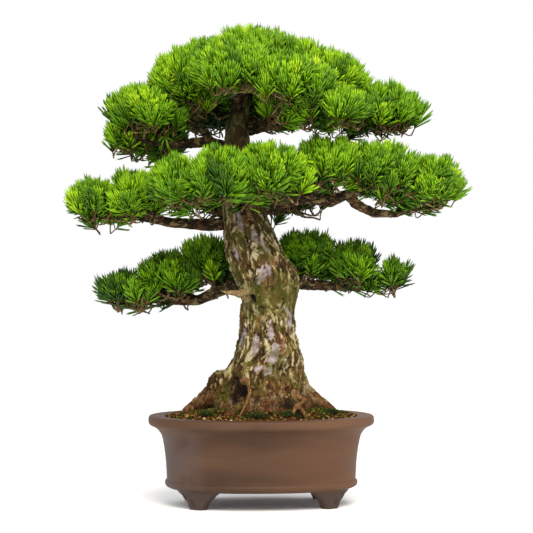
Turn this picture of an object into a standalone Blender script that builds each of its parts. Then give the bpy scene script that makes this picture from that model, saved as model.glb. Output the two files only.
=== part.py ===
"""A pine bonsai in an oval stoneware pot.

Metres, +Z up. The origin is on the floor under the middle of the pot, X runs along the pot's
length and -Y is the front. The tree is planted a little turned in its pot: everything that grew is
parented to the empty "tree_front", which stands at the height of the pot's rim.
"""
from math import cos, pi, radians, sin

import bmesh
import bpy
from mathutils import Matrix, Vector, noise

# --- Fits -------------------------------------------------------------------------------------
FIT_GAP = 0.0003            # air between two pieces that touch
CAP_WELD = 0.00001          # closes a tube's loose caps
CORNER_LOSS = 1.5           # a cutter's corners move out by this much more, so its faces clear too

# --- Pot --------------------------------------------------------------------------------------
RIM_HALF_LENGTH = 0.190
RIM_HALF_DEPTH = 0.144
OVAL_POWER = 2.25           # 2 is an ellipse, more is squarer
OVAL_POINTS = 36
POT_HEIGHT = 0.150
RIM_EDGE = 0.012            # height of the rim's upright edge
RIM_ROUND = 0.0015
RIM_FLANGE = 0.029          # flat top, from the edge to the opening
RIM_UNDERCUT = 0.004
COVE_DEPTH = 0.018
COVE_HEIGHT = 0.016
COVE_STEPS = 3
WALL_FLARE = 0.009          # how much wider the wall is under the cove than at the band
WALL_STEPS = 3
WALL = 0.009
BAND_PROUD = 0.003
BAND_HALF_HEIGHT = 0.0055
BAND_STEPS = 4
BASE_EDGE = 0.0025          # rounded edge between the band and the underside
BASE_SET_IN = 0.004
BASE = 0.008
FLOOR_FILLET = 0.008
FILLET_BEND = 0.3           # the inside corner's middle point, as a share of its fillet
DRAIN_HOLE = 0.020          # diameter
DRAIN_FROM_END = 0.120      # from the rim's end to a drain's middle
DRAIN_X = RIM_HALF_LENGTH - DRAIN_FROM_END
DRAIN_SIDES = 14

FOOT_HEIGHT = 0.030
FOOT_THICK = 0.024
FOOT_THICK_BOTTOM = 0.018
FOOT_SET_IN = 0.006         # how far the toe stands in from the top of the foot
FOOT_ANGLE = radians(42)    # where along the oval a foot stands
FOOT_TOP_SPAN = radians(21)
FOOT_TOE_SPAN = radians(7)
FOOT_CURVE = 1.5            # how quickly a foot narrows below the base
FOOT_LEVELS = 4
FOOT_POINTS = 5
FOOT_ROOT = 0.003           # how far a foot goes up into the base

# --- Fittings ---------------------------------------------------------------------------------
SCREEN = 1.8 * DRAIN_HOLE   # side of the mesh square over a drain hole
SCREEN_THICK = 0.0012
CLIP_WIRE = 0.0015          # diameters
TIE_WIRE = 0.0025
CLIP_HALF_SPAN = 0.375 * DRAIN_HOLE
CLIP_LEG_OUT = 0.012        # how far a clip's ends are bent out under the base
TIE_ASIDE = 0.004           # the tie wire passes a drain this far in front of its clip
TIE_DEPTH = 0.042           # how far under the rim the tie wire crosses the root ball's front
TIE_HALF_SPAN = RIM_HALF_LENGTH - 0.086
TIE_FORWARD = RIM_HALF_DEPTH - 0.066
# The tie wire's way up and over: shares of its half span and of its way forward.
TIE_RISE = (1.0, 0.4)
TIE_SHOULDER = (0.9, 0.8)
TIE_FRONT = (0.6, 1.0)

# --- Soil and moss ----------------------------------------------------------------------------
SOIL_DROP = 0.002           # soil's edge under the rim
SOIL_MOUND = 0.020
SOIL_RINGS = (0.93, 0.80, 0.62, 0.42, 0.24)
SOIL_ROUGH = 0.0012
SOIL_ROUGH_SCALE = 60       # bumps per metre
MOSS_HEIGHT = 0.006
MOSS_NARROW = 0.75          # a cushion's depth, as a share of its width
MOSS_LIFT = 0.2             # how far a cushion's middle stands over the soil, as a share
MOSS_SEGMENTS = 10
MOSS_LUMPS = 0.15

# --- Tree -------------------------------------------------------------------------------------
TREE_TURN = radians(-4.5)
TREE_RISE = 0.662           # rim to top needles: heights in the tree are shares of this
TREE_SPREAD = 0.340         # half the width of the foliage: reaches are shares of this
TRUNK_RADIUS = 0.048        # trunk widths are shares of this
TRUNK_SIDES = 18
TRUNK_LUMPS = 0.07
TRUNK_LUMP_SCALE = 1.6
TRUNK_LUMP_STEP = 0.45      # how far the lumps drift from one section to the next
LUMP_SCALE = 2.2            # lumps round a ball
ROOT_RESOLUTION = 1
BOUGH_GIRTH = 0.013         # radius of the thickest bough: the others are shares of this
STUB_BASE = (0.01, -0.03, 0.303)        # right, back and height
STUB_TIP = (-0.195, -0.13, 0.314)
STUB_RADIUS = 0.008
STUB_TAPER = ((0.0, 2.2), (0.45, 1.7), (0.7, 1.1), (1.0, 0.3))   # place along it, thickness
PAD_SEGMENTS = 10
PAD_RINGS = 6
PAD_LUMPS = 0.08
PAD_UNDERSIDE = 0.75        # a pad is flatter below than above
LOBE_SEED = 3.7             # sets each lobe's lumps apart from the next one's
PAD_NUMBERS = 5             # more than the lobes of any pad

# Height, lean to the right, lean to the back, half width and half depth.
TRUNK_STATIONS = (
    (-0.075, -0.01, 0.00, 0.90, 0.80), (-0.045, 0.00, 0.00, 1.45, 1.25),
    (0.000, 0.01, 0.00, 1.80, 1.55), (0.033, 0.02, 0.00, 1.70, 1.50),
    (0.071, 0.02, 0.00, 1.56, 1.35), (0.106, 0.02, 0.00, 1.38, 1.18),
    (0.145, 0.035, 0.00, 1.21, 1.05), (0.208, 0.031, 0.00, 1.00, 0.92),
    (0.267, 0.026, 0.00, 0.95, 0.88), (0.290, 0.036, 0.00, 0.93, 0.88),
    (0.315, 0.035, 0.00, 1.03, 0.95), (0.343, 0.026, 0.00, 1.14, 1.02),
    (0.370, 0.009, 0.00, 1.16, 1.02), (0.405, -0.026, -0.01, 1.05, 0.95),
    (0.443, -0.051, -0.01, 0.95, 0.88), (0.495, -0.077, -0.01, 0.82, 0.78),
    (0.560, -0.100, 0.00, 0.68, 0.66), (0.640, -0.118, 0.00, 0.54, 0.52),
    (0.733, -0.120, 0.00, 0.40, 0.39), (0.800, -0.100, 0.00, 0.29, 0.28),
    (0.876, -0.062, 0.00, 0.17, 0.17),
)

# Surface roots: azimuth in degrees, reach as a share of the pot's opening, height where it
# leaves the trunk, thickness.
ROOTS = (
    (188, 0.834, 0.096, 0.030), (4, 0.795, 0.082, 0.029), (238, 0.852, 0.052, 0.018),
    (272, 0.852, 0.040, 0.015), (312, 0.833, 0.050, 0.019), (58, 0.828, 0.055, 0.018),
    (98, 0.846, 0.045, 0.017), (140, 0.792, 0.055, 0.020),
)
ROOT_STEPS = (0.15, 0.40, 0.70, 0.93, 1.05)
ROOT_CURVE = 1.3            # how quickly a root falls away from the trunk
ROOT_DIVE_START = 0.9       # share of its reach where a root goes under the soil
ROOT_DIVE = 0.15            # slope of that dive
ROOT_SWAY = 0.006
ROOT_WAVES = 5
ROOT_TAPER = 0.7
ROOT_LIFT = 0.4             # share of the soil's mound that the roots stand on

# Fine roots in front of the trunk: thickness, then points as azimuth in degrees, share of the way
# from the trunk's radius to the pot's opening, and height.
FINE_ROOTS = (
    (0.0050, (236.9, 0.087, 0.060), (252.1, 0.331, 0.060), (257.6, 0.522, 0.042),
     (253.9, 0.651, 0.022), (249.4, 0.756, 0.004)),
    (0.0055, (318.0, 0.210, 0.040), (320.0, 0.519, 0.028), (305.9, 0.622, 0.022),
     (299.6, 0.689, 0.004)),
    (0.0040, (307.9, 0.596, 0.023), (308.9, 0.775, 0.010), (309.5, 0.828, -0.004)),
)
FINE_ROOT_TAPER = 0.12      # lost from one point to the next

# Boughs: a first limb from inside the trunk, then its side limbs. Each point is right, back,
# height and thickness.
BOUGHS = {
    "lower_left": (
        ((0.00, 0.02, 0.335, 1.0), (-0.16, 0.11, 0.326, 0.85), (-0.32, 0.17, 0.290, 0.7),
         (-0.48, 0.19, 0.287, 0.5), (-0.67, 0.19, 0.303, 0.3)),
        ((-0.32, 0.17, 0.290, 0.45), (-0.41, 0.28, 0.318, 0.3), (-0.50, 0.34, 0.338, 0.2)),
        ((-0.42, 0.18, 0.288, 0.45), (-0.49, 0.10, 0.304, 0.3), (-0.58, 0.06, 0.320, 0.2)),
        ((-0.21, 0.13, 0.315, 0.45), (-0.27, 0.21, 0.354, 0.3), (-0.24, 0.26, 0.385, 0.2)),
    ),
    "lower_right": (
        ((0.06, 0.02, 0.335, 0.95), (0.22, 0.15, 0.332, 0.8), (0.38, 0.21, 0.325, 0.6),
         (0.53, 0.22, 0.322, 0.45), (0.67, 0.22, 0.336, 0.3)),
        ((0.28, 0.18, 0.328, 0.45), (0.32, 0.29, 0.354, 0.3), (0.37, 0.37, 0.365, 0.2)),
        ((0.36, 0.21, 0.325, 0.45), (0.45, 0.13, 0.347, 0.3), (0.52, 0.10, 0.359, 0.2)),
    ),
    "mid_left": (
        ((-0.07, 0.00, 0.493, 1.0), (-0.25, -0.01, 0.483, 0.85), (-0.44, -0.02, 0.489, 0.65),
         (-0.63, -0.04, 0.504, 0.45), (-0.82, -0.04, 0.526, 0.27)),
        ((-0.44, -0.02, 0.489, 0.45), (-0.55, -0.12, 0.512, 0.3), (-0.65, -0.16, 0.526, 0.2)),
        ((-0.48, -0.02, 0.492, 0.45), (-0.61, 0.08, 0.518, 0.3), (-0.72, 0.12, 0.534, 0.2)),
    ),
    "mid_right": (
        ((-0.07, 0.00, 0.529, 1.15), (0.12, -0.07, 0.545, 1.0), (0.23, -0.12, 0.552, 0.9),
         (0.34, -0.14, 0.541, 0.85), (0.42, -0.15, 0.559, 0.75), (0.46, -0.16, 0.534, 0.7),
         (0.55, -0.16, 0.511, 0.6), (0.65, -0.15, 0.508, 0.45), (0.76, -0.15, 0.526, 0.3)),
        ((0.23, -0.12, 0.552, 0.5), (0.29, -0.22, 0.577, 0.35), (0.31, -0.29, 0.597, 0.2)),
        ((0.42, -0.15, 0.559, 0.5), (0.51, -0.06, 0.588, 0.35), (0.59, 0.00, 0.607, 0.2)),
        ((0.43, -0.15, 0.556, 0.5), (0.56, -0.22, 0.577, 0.35), (0.67, -0.25, 0.591, 0.2)),
    ),
    "mid_front": (
        ((-0.07, -0.01, 0.541, 1.0), (-0.10, -0.18, 0.544, 0.85), (-0.12, -0.29, 0.547, 0.6),
         (-0.17, -0.38, 0.557, 0.35)),
        ((-0.10, -0.21, 0.545, 0.5), (0.00, -0.32, 0.556, 0.35), (0.10, -0.37, 0.569, 0.2)),
        ((-0.10, -0.18, 0.544, 0.5), (-0.24, -0.28, 0.542, 0.35), (-0.38, -0.32, 0.553, 0.2)),
    ),
    "mid_back": (
        ((-0.07, 0.00, 0.502, 0.95), (-0.04, 0.18, 0.510, 0.8), (-0.08, 0.29, 0.518, 0.55),
         (-0.17, 0.41, 0.532, 0.3)),
        ((-0.05, 0.19, 0.510, 0.5), (0.06, 0.31, 0.524, 0.35), (0.17, 0.40, 0.538, 0.2)),
    ),
    "crown_left": (
        ((-0.12, 0.00, 0.674, 0.95), (-0.28, -0.02, 0.694, 0.75), (-0.43, -0.04, 0.687, 0.6),
         (-0.58, -0.06, 0.696, 0.4), (-0.70, -0.05, 0.711, 0.25)),
        ((-0.23, -0.01, 0.690, 0.5), (-0.32, -0.07, 0.737, 0.4), (-0.44, -0.09, 0.774, 0.3),
         (-0.54, -0.08, 0.785, 0.2)),
        ((-0.43, -0.04, 0.687, 0.4), (-0.53, 0.07, 0.720, 0.3), (-0.61, 0.10, 0.744, 0.2)),
    ),
    "crown_right": (
        ((-0.12, 0.00, 0.719, 0.9), (0.09, -0.02, 0.742, 0.75), (0.28, -0.02, 0.752, 0.6),
         (0.44, 0.01, 0.740, 0.45), (0.62, 0.01, 0.753, 0.25)),
        ((0.18, -0.02, 0.748, 0.45), (0.28, -0.13, 0.762, 0.3), (0.35, -0.19, 0.774, 0.2)),
        ((0.28, -0.02, 0.752, 0.45), (0.37, 0.12, 0.778, 0.3), (0.45, 0.18, 0.790, 0.2)),
        ((0.03, -0.01, 0.735, 0.45), (0.18, 0.04, 0.803, 0.3), (0.27, 0.06, 0.841, 0.2)),
    ),
    "crown_front": (
        ((-0.11, -0.01, 0.763, 0.7), (-0.12, -0.13, 0.809, 0.5), (-0.13, -0.25, 0.840, 0.35),
         (-0.14, -0.31, 0.856, 0.2)),
        ((-0.12, -0.15, 0.815, 0.4), (0.06, -0.24, 0.830, 0.3), (0.16, -0.28, 0.833, 0.2)),
    ),
    "crown_back": (
        ((-0.12, 0.00, 0.698, 0.75), (-0.11, 0.16, 0.747, 0.6), (-0.11, 0.28, 0.775, 0.45),
         (-0.18, 0.35, 0.798, 0.25)),
        ((-0.11, 0.18, 0.750, 0.45), (0.09, 0.28, 0.782, 0.3), (0.18, 0.32, 0.797, 0.2)),
    ),
}

# Foliage pads: each lobe is its centre (right, back, height) and its half sizes the same way.
PADS = {
    "apex": (
        (-0.06, 0.00, 0.894, 0.29, 0.28, 0.106), (0.13, 0.04, 0.895, 0.27, 0.25, 0.080),
        (-0.24, -0.01, 0.895, 0.22, 0.22, 0.078),
    ),
    "crown_left": (
        (-0.33, -0.01, 0.862, 0.23, 0.26, 0.094), (-0.55, -0.06, 0.776, 0.23, 0.25, 0.076),
        (-0.68, -0.04, 0.724, 0.12, 0.15, 0.068), (-0.55, 0.13, 0.700, 0.20, 0.18, 0.060),
    ),
    "crown_right": (
        (0.31, 0.01, 0.851, 0.27, 0.28, 0.088), (0.57, 0.01, 0.777, 0.26, 0.26, 0.082),
        (0.20, 0.04, 0.820, 0.21, 0.24, 0.062),
    ),
    "crown_front": (
        (-0.13, -0.33, 0.871, 0.24, 0.22, 0.070), (0.13, -0.36, 0.836, 0.25, 0.21, 0.073),
        (0.34, -0.25, 0.771, 0.24, 0.22, 0.066),
    ),
    "crown_back": (
        (-0.09, 0.33, 0.836, 0.30, 0.24, 0.096), (0.21, 0.33, 0.805, 0.26, 0.22, 0.083),
        (-0.36, 0.26, 0.790, 0.23, 0.22, 0.078),
    ),
    "mid_left": (
        (-0.81, -0.03, 0.545, 0.19, 0.20, 0.068), (-0.63, -0.04, 0.556, 0.19, 0.24, 0.080),
    ),
    "mid_front": (
        (-0.40, -0.31, 0.582, 0.17, 0.19, 0.080), (-0.18, -0.40, 0.595, 0.20, 0.18, 0.090),
        (0.06, -0.36, 0.613, 0.22, 0.18, 0.084),
    ),
    "mid_right": (
        (0.32, -0.18, 0.634, 0.25, 0.24, 0.080), (0.56, -0.16, 0.622, 0.25, 0.24, 0.080),
        (0.81, -0.13, 0.588, 0.21, 0.21, 0.080),
    ),
    "mid_back": (
        (-0.17, 0.38, 0.566, 0.25, 0.19, 0.066), (0.14, 0.40, 0.575, 0.25, 0.19, 0.066),
    ),
    "lower_left": (
        (-0.65, 0.18, 0.319, 0.19, 0.21, 0.062), (-0.45, 0.21, 0.362, 0.21, 0.25, 0.068),
        (-0.26, 0.24, 0.396, 0.19, 0.21, 0.074),
    ),
    "lower_right": (
        (0.23, 0.26, 0.409, 0.20, 0.23, 0.075), (0.47, 0.24, 0.385, 0.20, 0.24, 0.071),
        (0.64, 0.22, 0.359, 0.14, 0.18, 0.059),
    ),
}

# Moss cushions: azimuth in degrees, distance from the middle as a share of the pot's
# opening, half width.
MOSS = {
    "moss_left": (214, 0.791, 0.017),
    "moss_front": (262, 0.811, 0.019),
    "moss_front_right": (294, 0.771, 0.016),
    "moss_right": (338, 0.771, 0.018),
    "moss_back": (32, 0.782, 0.020),
}


# --- Scene and helpers ------------------------------------------------------------------------
for old in list(bpy.data.objects):
    bpy.data.objects.remove(old, do_unlink=True)

PARTS = bpy.data.collections.new("bonsai_in_pot")
CUTTERS = bpy.data.collections.new("cutters")
for collection in (PARTS, CUTTERS):
    bpy.context.scene.collection.children.link(collection)


def material(name, colour, roughness, metallic=0.0):
    """A Principled material with a plain linear colour."""
    made = bpy.data.materials.new(name)
    made.use_nodes = True
    shader = made.node_tree.nodes["Principled BSDF"]
    shader.inputs["Base Color"].default_value = (*colour, 1.0)
    shader.inputs["Roughness"].default_value = roughness
    shader.inputs["Metallic"].default_value = metallic
    return made


STONEWARE = ((0.155, 0.080, 0.050), 0.62)
SOIL = ((0.190, 0.095, 0.030), 0.95)
BARK = ((0.200, 0.140, 0.085), 0.90)
NEEDLES = ((0.090, 0.270, 0.020), 0.55)
MOSS_GREEN = ((0.050, 0.110, 0.015), 0.95)
PLASTIC = ((0.020, 0.020, 0.020), 0.60)
WIRE = ((0.420, 0.260, 0.150), 0.40, 1.0)


def new_part(name, mesh, finish, parent=None):
    """An object of its own in the parts' collection, with a material of its own."""
    made = bpy.data.objects.new(name, mesh)
    PARTS.objects.link(made)
    made.parent = parent
    mesh.materials.clear()
    mesh.materials.append(material(name, *finish))
    bpy.context.view_layer.update()
    return made


def adopt(name, draft, finish, parent=None):
    """Make a draft object's mesh a part, where the draft stands."""
    mesh, place = draft.data, draft.location.copy()
    bpy.data.objects.remove(draft, do_unlink=True)
    made = new_part(name, mesh, finish, parent)
    made.location = place
    bpy.context.view_layer.update()
    return made


def filled(mesh, bm):
    """Fill a mesh from a BMesh, facing out and in triangles, so a cutter has the same facets."""
    bmesh.ops.recalc_face_normals(bm, faces=bm.faces)
    bmesh.ops.triangulate(bm, faces=bm.faces)
    bm.to_mesh(mesh)
    bm.free()
    return mesh


def ball(segments, rings, half, seed, lumps, underside=1.0):
    """A lumpy ball in triangles with its own half sizes, as a draft object."""
    bpy.ops.mesh.primitive_uv_sphere_add(segments=segments, ring_count=rings, radius=1.0)
    made = bpy.context.object
    bm = bmesh.new()
    bm.from_mesh(made.data)
    for vertex in bm.verts:
        vertex.co *= 1 + lumps * noise.noise(vertex.co * LUMP_SCALE + Vector((seed, 0, 0)))
        if vertex.co.z < 0:
            vertex.co.z *= underside
        vertex.co = Vector([vertex.co[axis] * half[axis] for axis in range(3)])
    filled(made.data, bm)
    return made


def as_mesh(source, name, weld=0.0):
    """The evaluated shape of an object as a mesh in the object's own space, welded if asked."""
    bpy.context.view_layer.update()
    depsgraph = bpy.context.evaluated_depsgraph_get()
    mesh = bpy.data.meshes.new_from_object(source.evaluated_get(depsgraph))
    mesh.name = name
    bm = bmesh.new()
    bm.from_mesh(mesh)
    if weld:
        bmesh.ops.remove_doubles(bm, verts=bm.verts, dist=weld)
    return filled(mesh, bm)


def settle(part):
    """Put the result of an object's modifiers into its mesh."""
    mesh = as_mesh(part, part.name)
    part.modifiers.clear()
    part.data = mesh
    bpy.context.view_layer.update()


def combine(part, others, operation):
    """Join other objects to a part, or cut them out of it, and settle the result."""
    for other in others:
        boolean = part.modifiers.new(operation.lower(), "BOOLEAN")
        boolean.operation = operation
        boolean.solver = "EXACT"
        boolean.object = other
    settle(part)


def as_cutter(cutter):
    """Move an object to the cutters, where it only shows as wire."""
    for collection in list(cutter.users_collection):
        collection.objects.unlink(cutter)
    CUTTERS.objects.link(cutter)
    cutter.hide_render = True
    cutter.display_type = "WIRE"
    return cutter


def clearance(part):
    """A copy of a part that is a fit's gap larger all over, to cut its seat in a neighbour."""
    cutter = part.copy()
    cutter.data = part.data.copy()
    cutter.name = f"cut_{part.name}"
    as_cutter(cutter)
    displace = cutter.modifiers.new("clearance", "DISPLACE")
    displace.strength = FIT_GAP * CORNER_LOSS
    displace.mid_level = 0.0
    bpy.context.view_layer.update()
    return cutter


def join(part, pieces):
    """Grow pieces onto a part and remove them."""
    combine(part, pieces, "UNION")
    for piece in pieces:
        bpy.data.objects.remove(piece, do_unlink=True)


def keep_largest(part):
    """Remove the crumbs that a cutter leaves where it skims a surface."""
    bm = bmesh.new()
    bm.from_mesh(part.data)
    shells, seen = [], set()
    for start in bm.faces:
        if start in seen:
            continue
        shell, front = {start}, [start]
        while front:
            for edge in front.pop().edges:
                for face in edge.link_faces:
                    if face not in shell:
                        shell.add(face)
                        front.append(face)
        seen |= shell
        shells.append(shell)
    shells.sort(key=lambda shell: sum(face.calc_area() for face in shell))
    crumbs = [face for shell in shells[:-1] for face in shell]
    bmesh.ops.delete(bm, geom=crumbs, context="FACES")
    bm.to_mesh(part.data)
    bm.free()


def world_box(part):
    """The lowest and highest corners of an object in the world."""
    corners = [part.matrix_world @ Vector(corner) for corner in part.bound_box]
    low = Vector([min(c[axis] for c in corners) for axis in range(3)])
    high = Vector([max(c[axis] for c in corners) for axis in range(3)])
    return low, high


def near(part, other):
    """True if two objects' boxes meet."""
    low, high = world_box(part)
    other_low, other_high = world_box(other)
    return all(low[a] < other_high[a] and other_low[a] < high[a] for a in range(3))


def trim(part, cutters):
    """Cut a part by every cutter that reaches it, and keep it in one piece."""
    combine(part, [cutter for cutter in cutters if near(part, cutter)], "DIFFERENCE")
    keep_largest(part)


def loft(name, rings, peak=None):
    """Skin closed rings of equally many points. The last ring closes on a peak if one is given."""
    bm = bmesh.new()
    rows = [[bm.verts.new(point) for point in ring] for ring in rings]
    count = len(rows[0])
    for low, high in zip(rows, rows[1:]):
        for i in range(count):
            bm.faces.new((low[i], low[(i + 1) % count], high[(i + 1) % count], high[i]))
    bm.faces.new(rows[0])
    if peak is None:
        bm.faces.new(rows[-1])
    else:
        top = bm.verts.new(peak)
        for i in range(count):
            bm.faces.new((rows[-1][i], rows[-1][(i + 1) % count], top))
    return filled(bpy.data.meshes.new(name), bm)


def tube(name, points, radii, resolution=1, closed=False, parent=None):
    """A round wire or limb through points, with a radius at each, as a mesh object."""
    curve = bpy.data.curves.new(name, "CURVE")
    curve.dimensions = "3D"
    curve.bevel_depth = 1.0
    curve.bevel_resolution = resolution
    curve.use_fill_caps = not closed
    spline = curve.splines.new("POLY")
    spline.points.add(len(points) - 1)
    spline.use_cyclic_u = closed
    for target, point, radius in zip(spline.points, points, radii):
        target.co = (*point, 1.0)
        target.radius = radius
    source = bpy.data.objects.new(name + "_curve", curve)
    CUTTERS.objects.link(source)
    source.parent = parent
    mesh = as_mesh(source, name, CAP_WELD)
    made = bpy.data.objects.new(name, mesh)
    CUTTERS.objects.link(made)
    made.parent = parent
    bpy.data.objects.remove(source, do_unlink=True)
    bpy.context.view_layer.update()
    return made


# --- Pot --------------------------------------------------------------------------------------
RIM_UNDERSIDE = POT_HEIGHT - RIM_EDGE
COVE_TOP = RIM_UNDERSIDE - RIM_UNDERCUT
WALL_TOP = COVE_TOP - COVE_HEIGHT
WALL_TOP_INSET = RIM_UNDERCUT + COVE_DEPTH
WALL_FOOT_INSET = WALL_TOP_INSET + WALL_FLARE
BAND_BOTTOM = FOOT_HEIGHT + BASE_EDGE
BAND_TOP = BAND_BOTTOM + 2 * BAND_HALF_HEIGHT
POT_FLOOR = FOOT_HEIGHT + BASE


def oval(inset, z, share=1.0):
    """One ring of the pot's oval, set in from the rim's edge by the same width all round."""
    half_length = (RIM_HALF_LENGTH - inset) * share
    half_depth = (RIM_HALF_DEPTH - inset) * share
    ring = []
    for i in range(OVAL_POINTS):
        c, s = cos(2 * pi * i / OVAL_POINTS), sin(2 * pi * i / OVAL_POINTS)
        x = half_length * abs(c) ** (2 / OVAL_POWER) * (1 if c > 0 else -1)
        y = half_depth * abs(s) ** (2 / OVAL_POWER) * (1 if s > 0 else -1)
        ring.append(Vector((x, y, z)))
    return ring


def wall_inset(z):
    """How far the wall's outside stands in from the rim's edge at a height."""
    rise = (z - BAND_TOP) / (WALL_TOP - BAND_TOP)
    return WALL_FOOT_INSET - WALL_FLARE * max(rise, 0.0) ** 2


def outside_profile():
    """The pot's outside from its underside to the rim's inner edge, as (inset, height)."""
    profile = [(WALL_FOOT_INSET + BASE_SET_IN, FOOT_HEIGHT)]
    for i in range(BAND_STEPS + 1):
        turn = pi * i / BAND_STEPS
        middle = BAND_BOTTOM + BAND_HALF_HEIGHT
        height = middle - BAND_HALF_HEIGHT * cos(turn)
        profile.append((WALL_FOOT_INSET - BAND_PROUD * sin(turn), height))
    for i in range(1, WALL_STEPS + 1):
        height = BAND_TOP + (WALL_TOP - BAND_TOP) * i / WALL_STEPS
        profile.append((wall_inset(height), height))
    for i in range(1, COVE_STEPS + 1):
        turn = 0.5 * pi * i / COVE_STEPS
        inset = RIM_UNDERCUT + COVE_DEPTH * cos(turn)
        profile.append((inset, WALL_TOP + COVE_HEIGHT * sin(turn)))
    profile += [
        (RIM_ROUND, RIM_UNDERSIDE),
        (0.0, RIM_UNDERSIDE + RIM_ROUND),
        (0.0, POT_HEIGHT - RIM_ROUND),
        (RIM_ROUND, POT_HEIGHT),
        (RIM_FLANGE, POT_HEIGHT),
    ]
    return profile


def inside_profile(gap=0.0):
    """The pot's inside from the floor to under the rim. A gap gives what fits in it."""
    inset = wall_inset(POT_FLOOR) + WALL
    profile = [
        (inset + FLOOR_FILLET, POT_FLOOR),
        (inset + FILLET_BEND * FLOOR_FILLET, POT_FLOOR + FILLET_BEND * FLOOR_FILLET),
        (inset, POT_FLOOR + FLOOR_FILLET),
    ]
    middle = (POT_FLOOR + WALL_TOP) / 2
    profile += [(wall_inset(middle) + WALL, middle), (WALL_TOP_INSET + WALL, WALL_TOP)]
    return [(inset + gap, height + gap) for inset, height in profile]


def foot(side, end):
    """One cloud foot that follows the oval's corner, wide at the base and narrow at the toe."""
    rings = []
    top = FOOT_HEIGHT + FOOT_ROOT
    for level in range(FOOT_LEVELS):
        down = level / (FOOT_LEVELS - 1)
        span = FOOT_TOE_SPAN + (FOOT_TOP_SPAN - FOOT_TOE_SPAN) * (1 - down) ** FOOT_CURVE
        outer = WALL_FOOT_INSET + BASE_SET_IN + FOOT_SET_IN * down
        thick = FOOT_THICK + (FOOT_THICK_BOTTOM - FOOT_THICK) * down
        ring = []
        for inset, way in ((outer, 1), (outer + thick, -1)):
            for i in range(FOOT_POINTS):
                turn = FOOT_ANGLE + way * span * (2 * i / (FOOT_POINTS - 1) - 1)
                x = (RIM_HALF_LENGTH - inset) * cos(turn) ** (2 / OVAL_POWER)
                y = (RIM_HALF_DEPTH - inset) * sin(turn) ** (2 / OVAL_POWER)
                ring.append(Vector((side * x, end * y, top * (1 - down))))
        rings.append(ring)
    made = bpy.data.objects.new("foot", loft("foot", rings))
    CUTTERS.objects.link(made)
    return made


def drain_cutter(x):
    """A drill for one drain hole."""
    bpy.ops.mesh.primitive_cylinder_add(
        vertices=DRAIN_SIDES, radius=DRAIN_HOLE / 2, depth=4 * BASE, location=(x, 0, FOOT_HEIGHT)
    )
    cutter = bpy.context.object
    cutter.name = "drain"
    return as_cutter(cutter)


def build_pot():
    """The fired pot: wall, rim, band, four feet and two drain holes."""
    rings = [oval(inset, height) for inset, height in outside_profile()]
    rings += [oval(inset, height) for inset, height in reversed(inside_profile())]
    pot = new_part("pot", loft("pot", rings), STONEWARE)
    join(pot, [foot(side, end) for side in (-1, 1) for end in (-1, 1)])
    drains = [drain_cutter(x) for x in (-DRAIN_X, DRAIN_X)]
    combine(pot, drains, "DIFFERENCE")
    return pot


# --- Fittings under the soil --------------------------------------------------------------------
SCREEN_BOTTOM = POT_FLOOR + FIT_GAP
SCREEN_TOP = SCREEN_BOTTOM + SCREEN_THICK


def build_screen(name, x):
    """A square of plastic mesh over a drain hole, with holes for its clip and the tie wire."""
    bpy.ops.mesh.primitive_cube_add(size=1.0)
    square = bpy.context.object
    square.data.transform(Matrix.Diagonal((SCREEN, SCREEN, SCREEN_THICK, 1.0)))
    square.location = (x, 0, SCREEN_BOTTOM + SCREEN_THICK / 2)
    screen = adopt(name, square, PLASTIC)
    drills = []
    legs = [(side * CLIP_HALF_SPAN, 0, CLIP_WIRE) for side in (-1, 1)]
    for right, back, wire in legs + [(0, -TIE_ASIDE, TIE_WIRE)]:
        bpy.ops.mesh.primitive_cylinder_add(
            vertices=8, radius=wire / 2 + CORNER_LOSS * FIT_GAP, depth=SCREEN_THICK * 4,
            location=(x + right, back, SCREEN_BOTTOM),
        )
        drills.append(as_cutter(bpy.context.object))
    combine(screen, drills, "DIFFERENCE")
    return screen


def build_clip(name, x):
    """A wire staple that straddles a screen and is bent out under the base."""
    radius = CLIP_WIRE / 2
    over = SCREEN_TOP + FIT_GAP + radius
    under = FOOT_HEIGHT - FIT_GAP - radius
    points = []
    for side in (-1, 1):
        leg = x + side * CLIP_HALF_SPAN
        run = [(leg + side * CLIP_LEG_OUT, 0, under), (leg, 0, under), (leg, 0, over)]
        points += run if side < 0 else run[::-1]
    clip = tube("clip", points, [radius] * len(points), resolution=2)
    return adopt(name, clip, WIRE)


def build_tie_wire():
    """One closed turn of wire: under the base, up through both drains and over the roots."""
    radius = TIE_WIRE / 2
    under = FOOT_HEIGHT - 2 * FIT_GAP - CLIP_WIRE - radius - 2 * FIT_GAP
    over = POT_HEIGHT - TIE_DEPTH
    half = [
        (DRAIN_X, -TIE_ASIDE, under),
        (DRAIN_X, -TIE_ASIDE, POT_FLOOR + FLOOR_FILLET * 2),
    ]
    heights = ((POT_FLOOR + over) / 2, over, over)
    for (out, forward), height in zip((TIE_RISE, TIE_SHOULDER, TIE_FRONT), heights):
        half.append((TIE_HALF_SPAN * out, -TIE_FORWARD * forward, height))
    points = half + [(-x, y, z) for x, y, z in reversed(half)]
    wire = tube("turn", points, [radius] * len(points), resolution=2, closed=True)
    return adopt("tie_wire", wire, WIRE)


# --- Soil and moss ------------------------------------------------------------------------------
def soil_height(share):
    """The mound's height at a share of the way from the middle to the edge."""
    return POT_HEIGHT - SOIL_DROP + SOIL_MOUND * (1 - share ** 2)


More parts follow.
